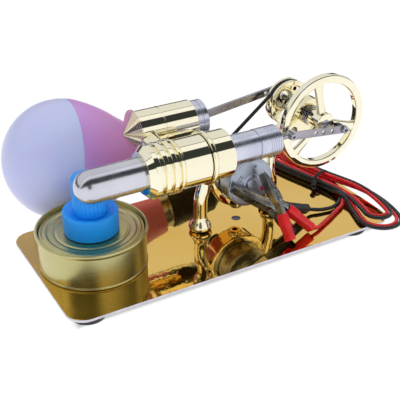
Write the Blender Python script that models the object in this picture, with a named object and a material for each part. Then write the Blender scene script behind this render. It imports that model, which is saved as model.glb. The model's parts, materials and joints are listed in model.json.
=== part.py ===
"""Desk-top Stirling engine that drives a small DC generator and lights a lamp.

Plate frame, in millimetres: X from the plate's left edge, Y from its front edge, Z from its upper face.
The root empty moves that frame so that the origin is under the middle of the whole model, on the table.
"""

import math

import bmesh
import bpy
from mathutils import Matrix, Vector

MM = 0.001
GAP = 0.3  # clearance between pieces that touch or run in each other

# Sides of a round shape, by its size
FINE, ROUND, MEDIUM, SMALL, TINY = 32, 20, 12, 8, 6

# Base plate
PLATE_LENGTH = 170.0
PLATE_DEPTH = 77.5
PLATE_THICKNESS = 1.2
PLATE_CORNER = 8.5
TABLE_Z = -4.8
FOOT_RADIUS = 8.0
FOOT_INSET = 9.5

# Shaft and wheels
SHAFT_X = 142.96
AXIS_Z = 47.53
SHAFT_RADIUS = 2.0
FLYWHEEL_RADIUS = 23.74
FLYWHEEL_FRONT_Y = 25.8
FLYWHEEL_WIDTH = 5.2
BELT_WHEEL_RADIUS = 11.67
BELT_WHEEL_FRONT_Y = 54.1
BELT_WHEEL_WIDTH = 5.6
BELT_RADIUS = 0.9
BELT_ON_WHEEL = 10.7  # radius of the belt's centre line on the wheel
BELT_ON_PULLEY = 3.4
BRACKET_FRONT_Y = 36.5

# Cranks: radius, and angle above +X
FRONT_CRANK = 9.2
FRONT_CRANK_ANGLE = math.radians(-21.6)
REAR_CRANK = 7.5
REAR_CRANK_ANGLE = math.radians(68.4)

# Displacer side (front) and power side (rear)
FRONT_Y = 22.94
FRONT_ROD_LENGTH = 30.7
FRONT_ROD_Y = 21.25
FRONT_ROD_THICKNESS = 1.0
REAR_Y = 61.2
REAR_ROD_LENGTH = 55.1
REAR_ROD_THICKNESS = 1.5
HOT_TUBE_RADIUS = 7.3
FRONT_BODY_RADIUS = 11.0
REAR_BODY_RADIUS = 10.0
FIN_RADIUS = 12.0

# Stand and generator
LEG_LEFT_X = 81.9
LEG_RIGHT_X = 122.2
LEG_Y = 38.8
MOTOR_X = 102.7
MOTOR_Z = 25.2
MOTOR_RADIUS = 12.2
MOTOR_FACE_Y = 27.3
MOTOR_LENGTH = 22.0
PLATE_HOLE = (102.4, 38.9)

# Burner
CAN_CENTRE = (26.4, 39.7)
CAN_RADIUS = 24.4
CAN_RIM_RADIUS = 25.4
CAN_RIM_Z = 18.3

# Lamp, along its own axis from the middle of the dome
BULB_CENTRE = (35.2, 94.4, 25.2)
BULB_RADIUS = 30.0
BULB_TILT = math.radians(11.35)
BULB_TURN = math.radians(-3.0)
WIRE_DIAMETER = 1.9

# Points on the free wires, in the plate frame
BLACK_LEAD = [(135.5, 24.6, 2.7), (138.0, 24.4, 2.0), (141.3, 23.0, 1.6), (144.6, 22.2, 1.4),
              (148.5, 21.8, 1.4),
              (152.2, 22.8, 1.5), (155.2, 24.6, 1.6)]
RED_LEAD = [(127.4, 9.3, 2.3), (130.6, 9.6, 1.6), (134.1, 11.1, 1.4), (138.2, 13.0, 1.4), (142.5, 15.0, 1.4),
            (147.0, 17.4, 1.4), (151.0, 19.4, 1.4), (154.0, 20.9, 1.4)]
LAMP_CORD = [(132.2, 87.9, 5.4), (135.0, 87.8, 4.6), (138.0, 87.9, 3.0), (141.0, 88.2, 0.8),
             (144.0, 88.8, -1.0),
             (147.5, 89.6, -1.8), (151.0, 89.6, -1.2), (153.6, 87.4, 0.6)]
LAMP_CORD_DIAMETER = 3.6
HANK_OUTLINE = [(150.4, 83.4), (154.5, 85.6), (158.6, 84.0), (160.8, 77.0), (162.6, 65.0), (166.5, 53.0),
                (172.2, 43.0), (175.8, 29.0), (179.0, 15.0), (177.6, 5.0), (170.5, -4.0), (161.0, -8.6),
                (152.0, -8.4), (149.0, -3.0), (152.0, 8.0), (156.0, 21.0), (157.6, 33.0), (155.6, 45.0),
                (151.6, 58.0), (149.2, 69.0), (148.6, 78.0)]
HANK_Z = (0.3, 6.3)

# Clips: tip of the jaws, pivot, and the outer ends of the two handles
BLACK_CLIP = {"tip": (90.0, 24.0, 27.5), "pivot": (108.1, 20.3, 14.9),
              "upper": (135.0, 24.5, 3.0), "lower": (115.9, 9.5, 3.0)}
RED_CLIP = {"tip": (106.4, 23.7, 31.1), "pivot": (110.4, 16.2, 19.3),
            "upper": (127.0, 9.2, 2.6), "lower": (110.7, 3.6, 3.8)}
CLIP_HALF_WIDTH = 2.0

for obj in list(bpy.data.objects):
    bpy.data.objects.remove(obj)

root = bpy.data.objects.new("plate_frame", None)
root.location = Vector((-PLATE_LENGTH / 2, -(BULB_CENTRE[1] + BULB_RADIUS) / 2, -TABLE_Z)) * MM
bpy.context.collection.objects.link(root)


# ---------------------------------------------------------------- materials

def material(name, colour, roughness, metallic):
    made = bpy.data.materials.new(name)
    made.use_nodes = True
    shader = made.node_tree.nodes["Principled BSDF"]
    shader.inputs["Base Color"].default_value = (*colour, 1.0)
    shader.inputs["Roughness"].default_value = roughness
    shader.inputs["Metallic"].default_value = metallic
    made.diffuse_color = (*colour, 1.0)
    return made


PLATE_GOLD = material("plate_gold", (0.86, 0.62, 0.20), 0.12, 1.0)
PALE_GOLD = material("pale_gold", (0.93, 0.84, 0.62), 0.08, 1.0)
ALUMINIUM = material("aluminium", (0.65, 0.66, 0.72), 0.35, 1.0)
STEEL = material("steel", (0.60, 0.61, 0.64), 0.18, 1.0)
DARK_STEEL = material("dark_steel", (0.18, 0.18, 0.19), 0.30, 1.0)
NICKEL = material("nickel", (0.70, 0.69, 0.66), 0.22, 1.0)
TIN = material("tin", (0.62, 0.55, 0.33), 0.25, 1.0)
BLACK_RUBBER = material("black_rubber", (0.02, 0.02, 0.02), 0.60, 0.0)
BLUE_PLASTIC = material("blue_plastic", (0.08, 0.50, 0.90), 0.35, 0.0)
OPAL_PLASTIC = material("opal_plastic", (0.85, 0.85, 0.97), 0.40, 0.0)
PINK_PLASTIC = material("pink_plastic", (0.78, 0.50, 0.78), 0.40, 0.0)
BLACK_PVC = material("black_pvc", (0.03, 0.03, 0.04), 0.35, 0.0)
RED_PVC = material("red_pvc", (0.75, 0.05, 0.05), 0.35, 0.0)


# ---------------------------------------------------------------- building blocks

def add_node(name, shape, look, centre=(0, 0, 0), turn=None):
    """Makes one object from a bmesh in millimetres, with its origin at centre."""
    bmesh.ops.recalc_face_normals(shape, faces=shape.faces)
    bmesh.ops.scale(shape, vec=(MM, MM, MM), verts=shape.verts)
    mesh = bpy.data.meshes.new(name)
    shape.to_mesh(mesh)
    shape.free()
    mesh.materials.append(look)
    mesh.shade_smooth()
    mesh.set_sharp_from_angle(angle=math.radians(35))
    made = bpy.data.objects.new(name, mesh)
    made.parent = root
    made.location = Vector(centre) * MM
    if turn is not None:
        made.rotation_euler = turn.to_euler()
    bpy.context.collection.objects.link(made)
    return made


def towards(direction, flat=None):
    """Rotation whose local Z points along direction, and whose local X lies nearest to flat."""
    along = Vector(direction).normalized()
    if flat is None:
        flat = (0, 0, 1) if abs(along.z) < 0.9 else (1, 0, 0)
    across = Vector(flat)
    across = (across - along * across.dot(along)).normalized()
    return Matrix((across, along.cross(across), along)).transposed()


ALONG_X = towards((1, 0, 0))
ALONG_Y = towards((0, 1, 0))


def turned_shape(profile, steps, closed=False):
    """Turns (radius, height) points about Z. A closed profile makes a ring."""
    shape = bmesh.new()
    rings = []
    for radius, height in profile:
        if radius < 1e-6:
            rings.append([shape.verts.new((0, 0, height))])
            continue
        rings.append([
            shape.verts.new((radius * math.cos(2 * math.pi * i / steps),
                             radius * math.sin(2 * math.pi * i / steps), height))
            for i in range(steps)])
    pairs = list(zip(rings, rings[1:]))
    if closed:
        pairs.append((rings[-1], rings[0]))
    for low, high in pairs:
        for i in range(steps):
            j = (i + 1) % steps
            corners = [low[i % len(low)], low[j % len(low)], high[j % len(high)], high[i % len(high)]]
            shape.faces.new(list(dict.fromkeys(corners)))
    return shape


def turned(name, profile, look, centre, turn, steps=MEDIUM, closed=False):
    return add_node(name, turned_shape(profile, steps, closed), look, centre, turn)


def tube_profile(outer, inner, low, high, bevel=0.0):
    if bevel == 0.0:
        return [(outer, low), (outer, high), (inner, high), (inner, low)]
    return [(outer - bevel, low), (outer, low + bevel), (outer, high - bevel), (outer - bevel, high),
            (inner, high), (inner, low)]


def rod_profile(radius, low, high, bevel=0.0):
    if bevel == 0.0:
        return [(0, low), (radius, low), (radius, high), (0, high)]
    return [(0, low), (radius - bevel, low), (radius, low + bevel), (radius, high - bevel),
            (radius - bevel, high), (0, high)]


def extruded_shape(outline, low, high):
    shape = bmesh.new()
    bottom = [shape.verts.new((x, y, low)) for x, y in outline]
    top = [shape.verts.new((x, y, high)) for x, y in outline]
    shape.faces.new(bottom)
    shape.faces.new(top)
    for i in range(len(outline)):
        j = (i + 1) % len(outline)
        shape.faces.new((bottom[i], bottom[j], top[j], top[i]))
    return shape


def arc(centre, radius, start, end, steps):
    return [(centre[0] + radius * math.cos(start + (end - start) * i / steps),
             centre[1] + radius * math.sin(start + (end - start) * i / steps)) for i in range(steps + 1)]


def link_outline(first, first_radius, second, second_radius, steps=8):
    """Two round ends joined by their common tangents."""
    run = math.dist(first, second)
    heading = math.atan2(second[1] - first[1], second[0] - first[0])
    lean = math.acos((first_radius - second_radius) / run)
    return (arc(second, second_radius, heading - lean, heading + lean, steps)
            + arc(first, first_radius, heading + lean, heading + 2 * math.pi - lean, steps))


def rounded_rectangle(width, depth, radius, steps=5):
    points = []
    corners = [(width - radius, depth - radius), (radius, depth - radius), (radius, radius),
               (width - radius, radius)]
    for k, corner in enumerate(corners):
        points += arc(corner, radius, k * math.pi / 2, (k + 1) * math.pi / 2, steps)
    return points


def smooth(points, per_span, closed=False):
    """Catmull-Rom curve through the points, read at per_span places in each span."""
    knots = [Vector(p) for p in points]
    count = len(knots)
    spans = count if closed else count - 1
    found = []
    for k in range(spans):
        if closed:
            a, b, c, d = (knots[(k + i) % count] for i in (-1, 0, 1, 2))
        else:
            a, b, c, d = (knots[min(max(k + i, 0), count - 1)] for i in (-1, 0, 1, 2))
        for i in range(per_span):
            t = i / per_span
            found.append(0.5 * (2 * b + (c - a) * t + (2 * a - 5 * b + 4 * c - d) * t * t
                                + (3 * b - a - 3 * c + d) * t ** 3))
    if not closed:
        found.append(knots[-1])
    return found


def swept_shape(route, radii, steps=12, closed=False):
    """Round bar of changing radius along route. Its rings keep one common side direction."""
    shape = bmesh.new()
    rings = []
    count = len(route)
    for i, point in enumerate(route):
        if closed:
            along = route[(i + 1) % count] - route[i - 1]
        else:
            along = route[min(i + 1, count - 1)] - route[max(i - 1, 0)]
        basis = towards(along, (0, 1, 0))
        rings.append([
            shape.verts.new(point + basis @ Vector((radii[i] * math.cos(2 * math.pi * k / steps),
                                                    radii[i] * math.sin(2 * math.pi * k / steps), 0)))
            for k in range(steps)])
    pairs = list(zip(rings, rings[1:]))
    if closed:
        pairs.append((rings[-1], rings[0]))
    else:
        shape.faces.new(rings[0])
        shape.faces.new(rings[-1])
    for low, high in pairs:
        for k in range(steps):
            m = (k + 1) % steps
            shape.faces.new((low[k], low[m], high[m], high[k]))
    return shape


def helper(shape, centre=(0, 0, 0), turn=None):
    """A hidden solid that another object is joined with or cut by."""
    made = add_node("helper", shape, STEEL, centre, turn)
    made.hide_render = True
    made.display_type = "WIRE"
    return made


def combine(target, operation, other):
    step = target.modifiers.new(operation.lower(), "BOOLEAN")
    step.operation = operation
    step.object = other


def join(target, *others):
    for other in others:
        combine(target, "UNION", other)


def cut(target, *others):
    for other in others:
        combine(target, "DIFFERENCE", other)


def hole(radius, centre, direction, length, steps=SMALL):
    """Round cutter of a length, centred on centre."""
    return helper(turned_shape(rod_profile(radius, -length / 2, length / 2), steps), centre,
                  towards(direction))


def wire(name, route, diameter, look, per_span=1):
    curve = bpy.data.curves.new(name, "CURVE")
    curve.dimensions = "3D"
    curve.bevel_depth = diameter / 2 * MM
    curve.bevel_resolution = 2
    curve.use_fill_caps = True
    points = smooth(route, per_span)
    spline = curve.splines.new("POLY")
    spline.points.add(len(points) - 1)
    for place, point in zip(spline.points, points):
        place.co = (*(point * MM), 1.0)
    curve.materials.append(look)
    made = bpy.data.objects.new(name, curve)
    made.parent = root
    bpy.context.collection.objects.link(made)
    return made


FACING_FRONT = Matrix(((1, 0, 0), (0, 0, -1), (0, 1, 0)))  # local X to X, local Y to Z, local Z to -Y


# ---------------------------------------------------------------- base

def make_base():
    plate = add_node("base_plate", extruded_shape(
        rounded_rectangle(PLATE_LENGTH, PLATE_DEPTH, PLATE_CORNER), -PLATE_THICKNESS, 0), PLATE_GOLD)
    middle = -PLATE_THICKNESS / 2
    cut(plate, hole(2.3, (*PLATE_HOLE, middle), (0, 0, 1), 3))
    for side, leg_x in (("left", LEG_LEFT_X), ("right", LEG_RIGHT_X)):
        cut(plate, hole(1.7, (leg_x, LEG_Y, middle), (0, 0, 1), 3, SMALL))
        head_top = -PLATE_THICKNESS - GAP
        turned("stand_screw_" + side,
               [(0, head_top - 2.0), (2.2, head_top - 2.0), (2.8, head_top - 1.3), (2.8, head_top),
                (1.4, head_top),
                (1.4, 6.0), (0, 6.0)], STEEL, (leg_x, LEG_Y, 0), None, SMALL)
    top = -PLATE_THICKNESS - GAP
    for row, y in (("front", FOOT_INSET), ("back", PLATE_DEPTH - FOOT_INSET)):
        for side, x in (("left", FOOT_INSET + 1), ("right", PLATE_LENGTH - FOOT_INSET - 10)):
            turned(f"rubber_foot_{row}_{side}",
                   [(0, TABLE_Z), (FOOT_RADIUS - 0.6, TABLE_Z), (FOOT_RADIUS, TABLE_Z + 0.7),
                    (FOOT_RADIUS - 0.4, top),
                    (0, top)], BLACK_RUBBER, (x, y, 0), None, MEDIUM)


# ---------------------------------------------------------------- stand

def make_stand():
    ring = turned_shape([(16.0, -9.4), (16.0, -0.6), (15.4, 0), (14.6, 0), (12.5, 0), (12.5, -9.4)], ROUND,
                        True)
    stand = add_node("stand_casting", ring, PALE_GOLD, (MOTOR_X, 35.6, MOTOR_Z), FACING_FRONT)
    foot = [5.6, 5.6, 4.9, 4.0, 3.4]
    left = smooth([(LEG_LEFT_X, LEG_Y, z) for z in (0.3, 1.4, 2.2, 3.6, 5.6)]
                  + [(LEG_LEFT_X, LEG_Y, 11), (LEG_LEFT_X + 0.4, LEG_Y + 0.2, 17),
                     (84.2, 39.4, 23), (84.4, 40.4, 28), (82.8, 41.6, 33), (82.2, 42.4, 38)], 1)
    right = smooth([(LEG_RIGHT_X, LEG_Y, z) for z in (0.3, 1.4, 2.2, 3.6, 5.6)]
                   + [(LEG_RIGHT_X, LEG_Y, 11), (LEG_RIGHT_X - 0.4, LEG_Y, 17),
                      (120.4, LEG_Y, 23), (120.4, LEG_Y, 27), (120.6, LEG_Y, 30.6)], 1)
    for route in (left, right):
        thickness = foot + [3.4] * (len(route) - len(foot))
        join(stand, helper(swept_shape(route, thickness, SMALL)))
    boss = turned_shape([(0, 6.8), (2.9, 6.8), (3.5, 7.5), (3.5, 11.0), (0, 11.0)], SMALL)
    join(stand, helper(boss, (PLATE_HOLE[0], 39.6, 0)))
    saddle = extruded_shape(rounded_rectangle(11.0, 28.0, 2.0, 4), 33.0, 44.0)
    join(stand, helper(saddle, (76.5, 28.0, 0)))
    cut(stand,
        hole(FRONT_BODY_RADIUS + GAP, (82, FRONT_Y, AXIS_Z), (1, 0, 0), 40, ROUND),
        hole(REAR_BODY_RADIUS + GAP, (82, REAR_Y, AXIS_Z), (1, 0, 0), 40, ROUND),
        hole(MOTOR_RADIUS + GAP, (MOTOR_X, 40.0, MOTOR_Z), (0, 1, 0), 30, ROUND),
        hole(1.5, (PLATE_HOLE[0], 39.6, 8.0), (0, 0, 1), 8, TINY),
        hole(1.7, (LEG_LEFT_X, LEG_Y, 3.0), (0, 0, 1), 7, TINY),
        hole(1.7, (LEG_RIGHT_X, LEG_Y, 3.0), (0, 0, 1), 7, TINY))


def make_bearing_bracket():
    eye = (SHAFT_X, AXIS_Z)
    arm = link_outline((120.8, 35.2), 4.2, eye, 8.5, 9)
    bracket = add_node("bearing_bracket", extruded_shape(arm, 0, 5.0), PALE_GOLD,
                       (0, BRACKET_FRONT_Y + 5.0, 0),
                       FACING_FRONT)
    sleeve = turned_shape(rod_profile(6.3, BRACKET_FRONT_Y + 1, 50.0), MEDIUM)
    join(bracket, helper(sleeve, (SHAFT_X, 0, AXIS_Z), ALONG_Y))
    cut(bracket,
        hole(2.6, (SHAFT_X, 43.0, AXIS_Z), (0, 1, 0), 30),
        hole(5.1, (SHAFT_X, BRACKET_FRONT_Y, AXIS_Z), (0, 1, 0), 6.4, MEDIUM),
        hole(5.1, (SHAFT_X, 50.0, AXIS_Z), (0, 1, 0), 6.4, MEDIUM),
        hole(1.7, (120.8, 39.0, 35.2), (0, 1, 0), 12, SMALL),
        helper(extruded_shape(link_outline((127.5, 38.4), 1.3, (133.0, 41.6), 2.0, 3), 0, 10),
               (0, BRACKET_FRONT_Y + 8.0, 0), FACING_FRONT))
    for side, low in (("front", BRACKET_FRONT_Y + 0.1), ("rear", 47.0)):
        turned("bearing_" + side,
               tube_profile(4.8, 2.3, low, low + 2.8), STEEL, (SHAFT_X, 0, AXIS_Z), ALONG_Y, MEDIUM, True)


# ---------------------------------------------------------------- crankshaft and wheels

def crank_place(radius, angle, y):
    return (SHAFT_X + radius * math.cos(angle), y, AXIS_Z + radius * math.sin(angle))


def make_crankshaft():
    turned("crank_shaft", rod_profile(SHAFT_RADIUS, 25.0, 59.4, 0.3), STEEL, (SHAFT_X, 0, AXIS_Z), ALONG_Y,
           MEDIUM)
    low = FLYWHEEL_FRONT_Y
    high = low + FLYWHEEL_WIDTH
    rim = turned_shape([(19.6, low + 1.3), (21.0, low), (22.6, low + 0.3), (FLYWHEEL_RADIUS, low + 1.8),
                        (FLYWHEEL_RADIUS, high - 1.8), (22.6, high - 0.3), (21.0, high), (19.6, high - 1.3)],
                       FINE, True)
    flywheel = add_node("front_flywheel", rim, PALE_GOLD, (SHAFT_X, 0, AXIS_Z), ALONG_Y)
    hub = turned_shape(tube_profile(5.0, SHAFT_RADIUS + GAP, low - 0.6, high + 2.4), MEDIUM, True)
    join(flywheel, helper(hub, (SHAFT_X, 0, AXIS_Z), ALONG_Y))
    for k in range(3):
        angle = math.radians(-19 + 120 * k)
        inner = (3.6 * math.cos(angle), 3.6 * math.sin(angle))
        outer = (20.8 * math.cos(angle), 20.8 * math.sin(angle))
        spoke = extruded_shape(link_outline(inner, 2.2, outer, 2.6, 2), 0, 3.4)
        join(flywheel, helper(spoke, (SHAFT_X, low + 4.2, AXIS_Z), FACING_FRONT))
    cut(flywheel, hole(SHAFT_RADIUS + GAP, (SHAFT_X, 30, AXIS_Z), (0, 1, 0), 30, MEDIUM))
    turned("front_crank_pin", rod_profile(1.6, 22.55, low + 0.5, 0.2), DARK_STEEL,
           crank_place(FRONT_CRANK, FRONT_CRANK_ANGLE, 0), ALONG_Y, SMALL)

    low = BELT_WHEEL_FRONT_Y
    high = low + BELT_WHEEL_WIDTH
    groove = BELT_ON_WHEEL - BELT_RADIUS - GAP
    wheel = turned("rear_belt_wheel",
                   [(SHAFT_RADIUS + GAP, low), (11.2, low), (BELT_WHEEL_RADIUS, low + 0.5),
                    (BELT_WHEEL_RADIUS, low + 1.3), (groove, low + 1.7), (groove, high - 1.7),
                    (BELT_WHEEL_RADIUS, high - 1.3), (BELT_WHEEL_RADIUS, high - 0.5), (11.2, high),
                    (SHAFT_RADIUS + GAP, high)], PALE_GOLD, (SHAFT_X, 0, AXIS_Z), ALONG_Y, ROUND, True)
    for k in range(3):
        angle = REAR_CRANK_ANGLE + math.radians(60 + 120 * k)
        window = (SHAFT_X + 5.9 * math.cos(angle), low + 3, AXIS_Z + 5.9 * math.sin(angle))
        cut(wheel, hole(2.4, window, (0, 1, 0), 12, SMALL))
    cut(wheel, hole(1.6, crank_place(REAR_CRANK, REAR_CRANK_ANGLE, low + 3), (0, 1, 0), 12, SMALL))
    turned("rear_crank_pin", rod_profile(1.3, low + 0.8, 60.15, 0.2), DARK_STEEL,
           crank_place(REAR_CRANK, REAR_CRANK_ANGLE, 0), ALONG_Y, SMALL)


def make_belt():
    """Open belt round the wheel and the generator pulley."""
    y = BELT_WHEEL_FRONT_Y + BELT_WHEEL_WIDTH / 2
    outline = link_outline((SHAFT_X, AXIS_Z), BELT_ON_WHEEL, (MOTOR_X, MOTOR_Z), BELT_ON_PULLEY, 9)
    route = [Vector((x, y, z)) for x, z in outline]
    add_node("drive_belt", swept_shape(route, [BELT_RADIUS] * len(route), 6, True), BLACK_RUBBER)


# ---------------------------------------------------------------- displacer side

def make_displacer_side():
    place = (0, FRONT_Y, AXIS_Z)
    dome = HOT_TUBE_RADIUS
    wall = 0.7
    inner = dome - wall
    arcs = [math.radians(22.5 * k) for k in range(5)]
    outside = [(dome * math.sin(a), 20.9 - dome * math.cos(a)) for a in arcs]
    inside = [(inner * math.sin(a), 20.9 - inner * math.cos(a)) for a in reversed(arcs)]
    turned("hot_tube", outside + [(dome, 57.7), (inner, 57.7)] + inside, STEEL, place, ALONG_X, ROUND)

    bore = inner
    seat = dome + GAP
    fins = [(seat, 43.6), (9.5, 43.6), (12.0, 46.3), (12.0, 48.7), (10.5, 48.9)]
    for centre in (51.5, 55.4):
        fins += [(10.5, centre - 1.3), (FIN_RADIUS, centre - 1.1), (FIN_RADIUS, centre + 1.1),
                 (10.5, centre + 1.3)]
    fins += [(10.5, 57.6), (FIN_RADIUS, 57.8), (FIN_RADIUS, 58.9), (10.4, 59.1), (10.4, 60.0),
             (FRONT_BODY_RADIUS, 60.0), (FRONT_BODY_RADIUS, 72.9), (bore, 72.9), (bore, 58.0), (seat, 58.0)]
    cooler = turned("finned_cylinder", fins, PALE_GOLD, place, ALONG_X, ROUND, True)
    cut(cooler, hole(2.0, (64.0, FRONT_Y + 10, AXIS_Z), (0, 1, 0), 8, SMALL))

    turned("cold_end_block",
           [(1.55, 73.2), (12.4, 73.2), (12.4, 74.9), (10.6, 75.1), (10.6, 75.8), (FRONT_BODY_RADIUS, 75.9),
            (FRONT_BODY_RADIUS, 85.0), (1.55, 85.0)],
           PALE_GOLD, place, ALONG_X, ROUND, True)
    turned("displacer_guide",
           [(1.55, 85.3), (6.9, 85.3), (6.9, 100.3), (6.5, 100.6), (7.1, 100.9), (7.1, 111.6), (6.2, 112.7),
            (5.6, 112.7), (5.6, 95.0), (1.55, 95.0)],
           ALUMINIUM, place, ALONG_X, ROUND, True)
    turned("displacer",
           [(0, 35.0), (4.4, 35.0), (6.2, 37.0), (6.2, 65.0), (0, 65.0)],
           STEEL, place, ALONG_X, MEDIUM)

    pivot_x = crank_place(FRONT_CRANK, FRONT_CRANK_ANGLE, 0)[0] - FRONT_ROD_LENGTH * math.cos(front_rod_dip())
    rod = turned("displacer_rod", rod_profile(1.25, 65.3, pivot_x - 3.0), STEEL, place, ALONG_X, SMALL)
    tongue = extruded_shape([(-5.0, -1.1), (-1.0, -1.1), (-1.0, 1.1), (-5.0, 1.1)], -24.1, -22.85)
    join(rod, helper(tongue, (pivot_x, 0, AXIS_Z), FACING_FRONT))
    eye_y = FRONT_ROD_Y + FRONT_ROD_THICKNESS + GAP
    join(rod, helper(turned_shape(rod_profile(2.1, eye_y, 24.3, 0.2), SMALL), (pivot_x, 0, AXIS_Z), ALONG_Y))
    cut(rod, hole(1.1, (pivot_x, 23, AXIS_Z), (0, 1, 0), 8, SMALL))
    turned("front_wrist_pin",
           [(0, 20.1), (1.3, 20.1), (1.6, 20.4), (1.6, FRONT_ROD_Y - GAP), (0.8, FRONT_ROD_Y - GAP),
            (0.8, 24.2),
            (0, 24.2)], STEEL, (pivot_x, 0, AXIS_Z), ALONG_Y, SMALL)
    make_rod("front_connecting_rod", (pivot_x, AXIS_Z), crank_place(FRONT_CRANK, FRONT_CRANK_ANGLE, 0),
             FRONT_ROD_Y, FRONT_ROD_THICKNESS, 1.9, (13.6, 18.2, 23.4))
    head_back = FRONT_ROD_Y - GAP
    turned("front_crank_screw",
           [(0, 19.6), (1.5, 19.6), (2.0, 20.0), (2.0, head_back), (0.8, head_back), (0.8, 22.1), (0, 22.1)],
           DARK_STEEL, crank_place(FRONT_CRANK, FRONT_CRANK_ANGLE, 0), ALONG_Y, SMALL)


def front_rod_dip():
    return math.asin(FRONT_CRANK * math.sin(-FRONT_CRANK_ANGLE) / FRONT_ROD_LENGTH)


def rear_rod_rise():
    return math.asin(REAR_CRANK * math.sin(REAR_CRANK_ANGLE) / REAR_ROD_LENGTH)


def make_rod(name, pivot, crank, front_y, thickness, half_width, holes_at):
    """Flat connecting rod from its pivot to the crank, with its origin on the pivot."""
    run = (crank[0] - pivot[0], crank[2] - pivot[1])
    length = math.hypot(*run)
    outline = link_outline((0, 0), half_width, run, half_width, 6)
    rod = add_node(name, extruded_shape(outline, 0, thickness), ALUMINIUM,
                   (pivot[0], front_y + thickness, pivot[1]), FACING_FRONT)
    for distance, radius in [(0, 1.1), (length, 1.1)] + [(along, 0.95) for along in holes_at]:
        share = distance / length
        centre = (pivot[0] + run[0] * share, front_y, pivot[1] + run[1] * share)
        cut(rod, hole(radius, centre, (0, 1, 0), 6, SMALL))


# ---------------------------------------------------------------- power side

def make_power_side():
    place = (0, REAR_Y, AXIS_Z)
    steps = 5
    cone = [(0, 53.5)]
    for k in range(steps):
        radius = 10.84 * (k + 1) / steps
        x = 53.5 + 6.0 * k / steps
        cone += [(radius - 0.6, x + 0.3), (radius, x + 0.6)]
    cone += [(10.84, 59.5), (0, 59.5)]
    turned("cone_cap", cone, PALE_GOLD, place, ALONG_X, ROUND)
    seat = 9.38
    body = turned("power_cylinder",
                  [(0, 59.8), (REAR_BODY_RADIUS, 59.8), (REAR_BODY_RADIUS, 71.1), (9.7, 71.4), (9.7, 71.8),
                   (REAR_BODY_RADIUS, 72.1), (REAR_BODY_RADIUS, 88.7), (seat, 88.7), (seat, 61.8), (0, 61.8)],
                  PALE_GOLD, place, ALONG_X, ROUND)
    port_x = 64.0
    cut(body, hole(2.0, (port_x, REAR_Y - 9, AXIS_Z), (0, 1, 0), 8, SMALL))
    liner = turned("cylinder_liner", tube_profile(9.08, 7.6, 62.1, 95.0), ALUMINIUM, place, ALONG_X, ROUND,
                   True)
    cut(liner, hole(2.0, (port_x, REAR_Y - 9, AXIS_Z), (0, 1, 0), 8, SMALL))

    pivot_x = crank_place(REAR_CRANK, REAR_CRANK_ANGLE, 0)[0] - REAR_ROD_LENGTH * math.cos(rear_rod_rise())
    piston = turned("power_piston",
                    [(0, 77.2), (7.3, 77.2), (7.3, 93.1), (5.9, 93.1), (5.9, 82.0), (0, 82.0)], STEEL, place,
                    ALONG_X, ROUND)
    cut(piston, hole(1.2, (pivot_x, REAR_Y, AXIS_Z), (0, 1, 0), 20, SMALL))
    turned("gudgeon_pin", rod_profile(0.8, REAR_Y - 6.9, REAR_Y + 6.9, 0.15), STEEL, (pivot_x, 0, AXIS_Z),
           ALONG_Y, SMALL)
    front_y = REAR_Y - REAR_ROD_THICKNESS / 2
    make_rod("rear_connecting_rod", (pivot_x, AXIS_Z), crank_place(REAR_CRANK, REAR_CRANK_ANGLE, 0),
             front_y, REAR_ROD_THICKNESS, 1.85, (41.4,))
    back_y = front_y + REAR_ROD_THICKNESS + GAP
    turned("rear_crank_screw",
           [(0, front_y + 0.1), (0.8, front_y + 0.1), (0.8, back_y), (2.0, back_y), (2.0, back_y + 0.9),
            (1.5, back_y + 1.3), (0, back_y + 1.3)],
           DARK_STEEL, crank_place(REAR_CRANK, REAR_CRANK_ANGLE, 0), ALONG_Y, SMALL)


def make_bridge():
    """Barrel between the two cylinders that carries the air passage."""
    bridge = turned("transfer_bridge",
                    [(0, 30.0), (5.2, 30.0), (4.9, 36.0), (4.8, 43.0), (4.9, 49.0), (5.2, 56.0), (0, 56.0)],
                    PALE_GOLD, (62.6, 0, 45.4), ALONG_Y, ROUND)
    cut(bridge,
        hole(FRONT_BODY_RADIUS + GAP, (64, FRONT_Y, AXIS_Z), (1, 0, 0), 40, ROUND),
        hole(FIN_RADIUS + GAP, (49.2, FRONT_Y, AXIS_Z), (1, 0, 0), 20, ROUND),
        hole(REAR_BODY_RADIUS + GAP, (70, REAR_Y, AXIS_Z), (1, 0, 0), 40, ROUND),
        hole(11.1, (50, REAR_Y, AXIS_Z), (1, 0, 0), 19.6, ROUND),
        hole(2.0, (64.0, 43, AXIS_Z), (0, 1, 0), 40, SMALL))


# ---------------------------------------------------------------- generator

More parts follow.
